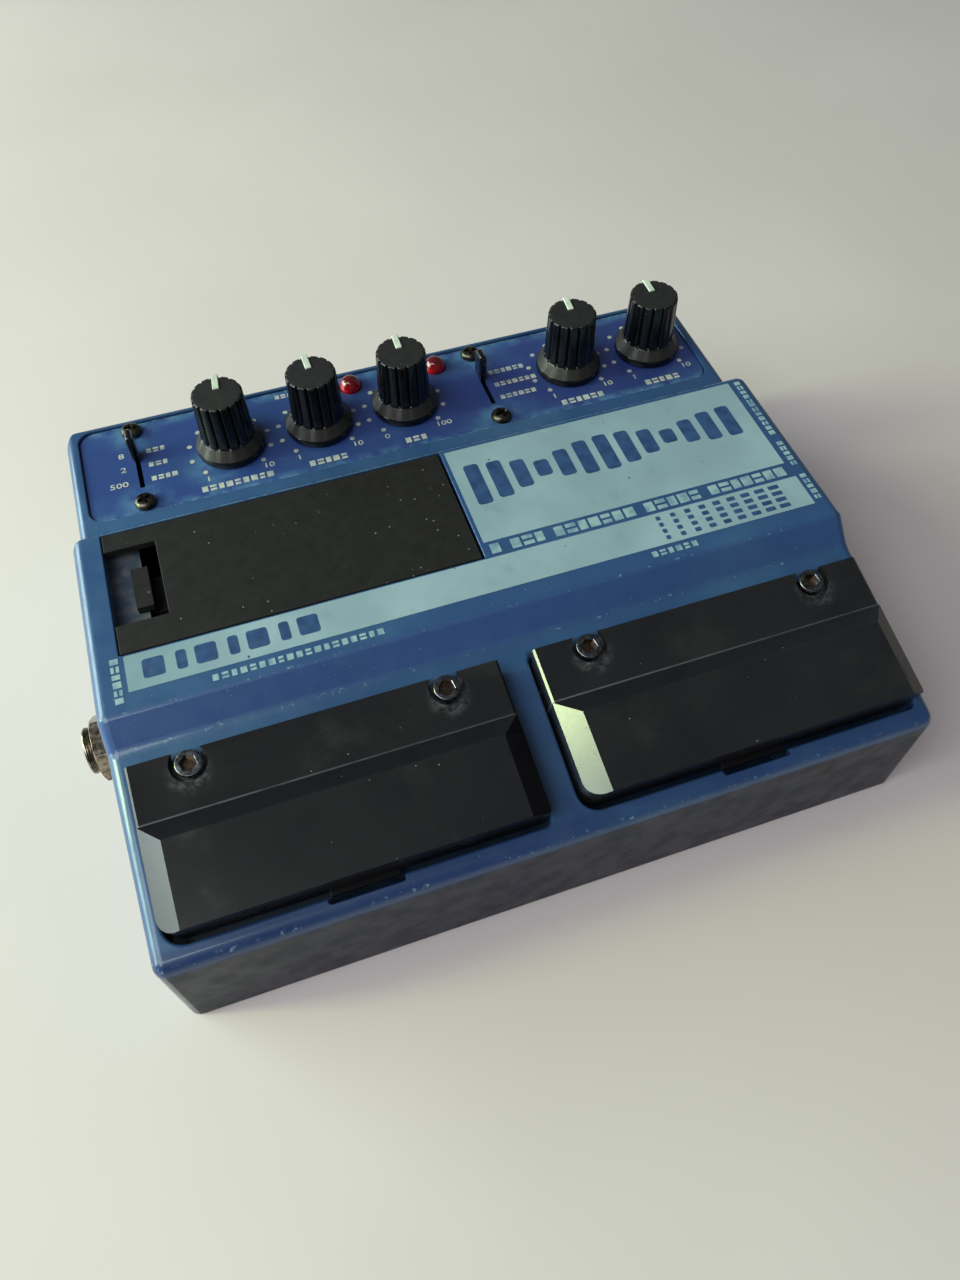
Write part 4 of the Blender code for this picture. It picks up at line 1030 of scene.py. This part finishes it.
def treadle_blank():
    """A wedge with a raised pad whose rear and side edges slope down to the rim."""
    front = -TREADLE_LEN - 5
    profile = [(0, 0), (-3.2, -12.6), (-12.2, -12.6), (-13.2, -SKIRT), (front, -SKIRT), (front, 0)]
    sunk = 0.5
    over = sunk * PAD_BEVEL / PAD_RISE
    low, high = TREADLE_HALF + over, TREADLE_HALF - PAD_BEVEL
    rings = []
    for half, rear, z in ((low, -CREASE + over, -sunk), (high, -CREASE - PAD_BEVEL, PAD_RISE)):
        rings += levels([(-half, front), (half, front), (half, rear), (-half, rear)], z)
    plate = join(side_prism(profile, -TREADLE_HALF, TREADLE_HALF), loft_mesh(rings))
    outline = rounded_rect((-TREADLE_HALF, TREADLE_HALF, -TREADLE_LEN, 20), (1.2, 0.5, 0.5, 4.2), 0, 10)
    boolean(plate, loft_mesh(levels(outline, -20, 20)), "INTERSECT")
    for x in (-1, 1):
        corner = [(x * (TREADLE_HALF + 0.6), -0.89), (x * (TREADLE_HALF + 0.6), 0.5), (x * (TREADLE_HALF - 1.17), 0.5)]
        cut(plate, loft_mesh([[(px, y, pz) for px, pz in corner] for y in (-CREASE, 2)]))
    return plate


def build_treadle(side):
    body = f"treadle_{side}"
    plate = treadle_blank()
    bolts = [(x, -CAP_IN) for x in (-CAP_DX, CAP_DX)]
    for spot in bolts:
        cut(plate, rod(CAP_HOLE_R, -2.6, 8, 48, spot))
    bevel(plate, 0.32, 3, 22)
    cut(plate, box_mesh((-TREADLE_HALF + 2, -TREADLE_LEN + 2, -20), (TREADLE_HALF - 2, -12.2, -2.2)))
    tongue = box_mesh((-7.7, -TREADLE_LEN - 1.3, -SKIRT), (7.7, -TREADLE_LEN + 1, -SKIRT + 1.7))
    join(plate, bevel(tongue, 0.25, 2, 30))
    cut(plate, point_sideways(rod(PIN_R, -60, 60, 32), -PIN_IN, -PIN_DOWN))
    for spot in bolts:
        cut(plate, rod(BOLT_HOLE_R, -7.6, -1, 32, spot))
    place = (Matrix.Translation((SIDES[side] * TREADLE_X, TREADLE_REAR_Y, TREADLE_REAR_Z))
             @ Matrix.Rotation(TREADLE_TILT, 4, "X"))
    made = piece(f"{body}_plate", plate, TREADLE_BLACK[side], body, body, 24, place)
    front_y = (place @ Vector((0, -TREADLE_LEN - 0.1, -SKIRT))).y * MM
    second_paint(made, lambda face: face.normal.x > 0.4 or face.center.y < front_y and face.center.z < 38 * MM)
    for end, x in (("inner", -SIDES[side] * CAP_DX), ("outer", SIDES[side] * CAP_DX)):
        build_cap_screw(side, end, x, place)


def build_cap_screw(side, end, x, place):
    profile = [(1.4, -7.2), (1.8, -6.8), (1.8, -2.3), (2.9, -2.3), (3.05, -2.15), (3.05, -0.55), (2.99, -0.36),
               (2.83, -0.22), (2.65, -0.2)]
    socket = [ring for r, z in ((1.9, -1.7), (1.9, -0.32), (2.2, -0.1)) for ring in levels(circle(r, 6), z)]
    turned = place @ Matrix.Translation((x, -CAP_IN, 0)) @ Matrix.Rotation(radians(11 + x), 4, "Z")
    piece(f"cap_bolt_{side}_{end}", cut(turned_mesh(profile), loft_mesh(socket)), RUSTY_STEEL, f"treadle_{side}",
          f"capscrew_{side}_{end}", 35, turned)


# ---------------- sockets

def reach(name):
    """How near to and far from the middle of the pedal a side part lies."""
    low, high = node_box(name)[:2]
    return sorted((abs(low.x), abs(high.x)))


def sideways(side, middle):
    """Places a part drawn about +Z so that its axis points out through the left or right wall."""
    return Matrix.Translation((0, middle.y, middle.z)) @ Matrix.Rotation(side * pi / 2, 4, "Y")


def build_jack(name):
    """A jack with a threaded bushing and its hexagonal nut."""
    middle = node_middle(name)
    tip = reach(name)[1]
    seat, face = reach(f"{name}_nut")
    profile = [(6.6, 64.5), (6.6, 88.6), (JACK_R - 0.25, 88.6)]
    z = 89
    while z < tip - 0.95:
        profile += [(JACK_R - 0.38, z), (JACK_R - 0.05, z + 0.26), (JACK_R - 0.05, z + 0.36)]
        z += 0.64
    profile += [(JACK_R - 0.38, tip - 0.8), (JACK_R, tip - 0.55), (JACK_R, tip - 0.4), (JACK_R - 0.12, tip - 0.14),
                (JACK_R - 0.42, tip), (BORE_R + 0.75, tip), (BORE_R + 0.3, tip - 0.12), (BORE_R, tip - 0.5),
                (BORE_R, 67.2), (0, 67)]
    bushing = join(turned_mesh(profile, 56), box_mesh((-7, -7, 64), (7, 7, INNER_FACE)))
    cut(bushing, rod(BORE_R, 67, 92, 56))
    place = sideways(JACKS[name], middle)
    piece(f"{name}_bushing", bushing, JACK_CHROME, "case", name, 30, place)
    nut = bevel(loft_mesh(levels(circle(NUT_R, 6, 0.5), seat, face)), 0.22, 3, 40)
    crown = [(7.7, seat - 1), (7.7, seat), (8.5, seat + 0.45), (8.5, face - 0.75), (7.35, face), (7.35, face + 1)]
    boolean(nut, turned_mesh(crown, 72), "INTERSECT")
    bore = [(5.85, seat - 2), (5.85, face - 0.4), (6.4, face + 0.1), (6.4, face + 2)]
    cut(nut, turned_mesh(bore, 56))
    turned = place @ Matrix.Rotation(radians(9 + 7 * middle.y), 4, "Z")
    piece(f"{name}_hex_nut", nut, JACK_CHROME, "case", f"{name}_nut", 25, turned)


def build_power_socket():
    tip = reach("power_jack")[1]
    body = bevel(box_mesh((-6, -5, 76), (6, 5, INNER_FACE)), 0.4, 2, 30)
    collar = [(POWER_R, 88), (POWER_R, tip - 0.45), (5.05, tip - 0.12), (4.8, tip)]
    bore = [(2.9, 79), (2.9, tip - 0.5), (3.35, tip + 0.1), (3.35, tip + 2)]
    pin = [(0.95, 77), (0.95, 90), (0.7, 90.4), (0, 90.5)]
    join(body, turned_mesh(collar, 56))
    cut(body, turned_mesh(bore))
    join(body, turned_mesh(pin, 32))
    piece("power_socket", body, SOCKET_PLASTIC, "case", "power_jack", 30,
          sideways(1, node_middle("power_jack")))


# ---------------- battery and its door

def build_door():
    """The door with the finger notch at its left end and two ribs that guide the latch."""
    x0, x1, y0, y1 = DOOR_LOW.x, DOOR_HIGH.x, DOOR_LOW.y, DOOR_HIGH.y
    top, under = DOOR_HIGH.z, DOOR_HIGH.z - DOOR_T
    door = box_mesh((x0, y0, under), (x1, y1, top))
    door = cut(door, box_mesh((x0 - 2, 3.8, under - 2), (-72.2, 26.7, top + 2)))
    bevel(door, 0.22, 3, 40)
    for y in (8.2, 20.5):
        join(door, box_mesh((-71.6, y, DOOR_LOW.z), (-64, y + 1, 49.3)))
    piece("door_panel", door, DOOR_PLASTIC, "door", "battery_door", 30)


def build_latch():
    latch = box_mesh((-76.7, 9.5, 43.2), (-66, 20.2, 44.3))
    for low, high in (((-76.7, 9.5, 43.6), (-75.4, 20.2, 46.9)), ((-79.4, 8.8, 46.4), (-75.4, 20.9, 48.5))):
        latch = join(latch, box_mesh(low, high))
    piece("latch_tongue", bevel(latch, 0.18, 2, 40), DOOR_PLASTIC, "latch", "door_latch", 30)


def build_battery():
    tip = node_box("battery")[1].x
    battery = bevel(side_prism(rounded_rect((0.8, 27.2, 23.5, 41), 2, 0, 5), -70.5, -24), 0.5, 3, 60)
    for radius, y, count in ((2.9, 7.4, 32), (3.6, 20.6, 6)):
        stud = [(radius, -25.5), (radius, tip - 0.3), (radius - 0.3, tip), (radius * 0.55, tip),
                (radius * 0.5, tip - 1.2)]
        join(battery, point_sideways(turned_mesh(stud, count), y, 32.2))
    piece("battery_cell", battery, WRAP, "case", "battery", 30)


# ---------------- the whole pedal

for build in (build_case, build_control_plate, build_dial_print, build_pale_print, build_small_print,
              build_dark_print):
    build()
for knob in KNOBS:
    build_knob(knob)
for number in (1, 2):
    build_lamp(number)
for side in SIDES:
    build_lever(side)
    build_treadle(side)
    build_panel_screw(side, "front", 20)
    build_panel_screw(side, "rear", -12)
for jack in JACKS:
    build_jack(jack)
for build in (build_power_socket, build_door, build_latch, build_battery):
    build()

# CAD nodes whose shape is right keep it and only take a better material
INSIDE_PAINT = {"pot_": ZINC, "shaft_": ZINC, "switch_body_": ZINC, "hinge_pin_": ZINC, "plunger_": ZINC,
                "footswitch_": SOCKET_PLASTIC, "battery_tray": SOCKET_PLASTIC, "circuit_board": BOARD,
                "bottom_plate": ZINC, "basescrew_": AGED_STEEL, "foot_": RUBBER}
for name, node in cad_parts.items():
    for start, paint in INSIDE_PAINT.items():
        if name.startswith(start):
            node.data.materials.clear()
            node.data.materials.append(paint)


# ---------------- studio

def build_floor():
    half, thick = 6000, 20
    corners = [(-half, -half), (half, -half), (half, half), (-half, half)]
    floor = scratch(loft_mesh(levels(corners, -thick, 0)))
    floor.name = "studio_floor"
    floor.data.transform(Matrix.Scale(MM, 4))
    floor.data.materials.append(floor_paint())


def add_panel_light(name, place, width, height, watts, colour):
    """A soft rectangular light at a place in metres, turned to face the pedal's middle."""
    data = bpy.data.lights.new(name, "AREA")
    data.shape = "RECTANGLE"
    data.size, data.size_y = width, height
    data.energy = watts
    data.color = colour
    lamp = new_object(name, data)
    lamp.location = place
    lamp.rotation_euler = (Vector(place) - Vector((0, 0, 0.03))).to_track_quat("Z", "Y").to_euler()


def build_lights():
    add_panel_light("window_panel", (-1.14, 0.39, 0.46), 1.4, 0.6, 21, (0.84, 1, 0.98))
    add_panel_light("leafy_panel", (-1.08, 0.17, 0.74), 0.16, 0.5, 6.5, (0.78, 1, 0.4))
    add_panel_light("upper_left_panel", (-0.75, -0.45, 1.2), 0.9, 0.8, 11, (0.97, 0.98, 1))
    world = bpy.data.worlds.new("studio")
    world.use_nodes = True
    backdrop = world.node_tree.nodes["Background"]
    backdrop.inputs["Color"].default_value = (0.85, 0.9, 1, 1)
    backdrop.inputs["Strength"].default_value = 0.13
    bpy.context.scene.world = world


def build_camera():
    data = bpy.data.cameras.new("camera")
    data.sensor_width = 36
    data.lens = 27.38
    data.clip_start = 0.01
    camera = new_object("camera", data)
    forward = Vector((0.17957598, 0.52890992, -0.82946173)).normalized()
    right = Vector((0.94614384, -0.32374261, -0.00159859)).normalized()
    up = right.cross(forward).normalized()
    turn = Matrix((right, up, -forward)).transposed().to_4x4()
    camera.matrix_world = Matrix.Translation((-0.04622, -0.14395, 0.23391)) @ turn
    bpy.context.scene.camera = camera


build_floor()
build_lights()
build_camera()
bpy.context.scene.view_settings.view_transform = "Standard"
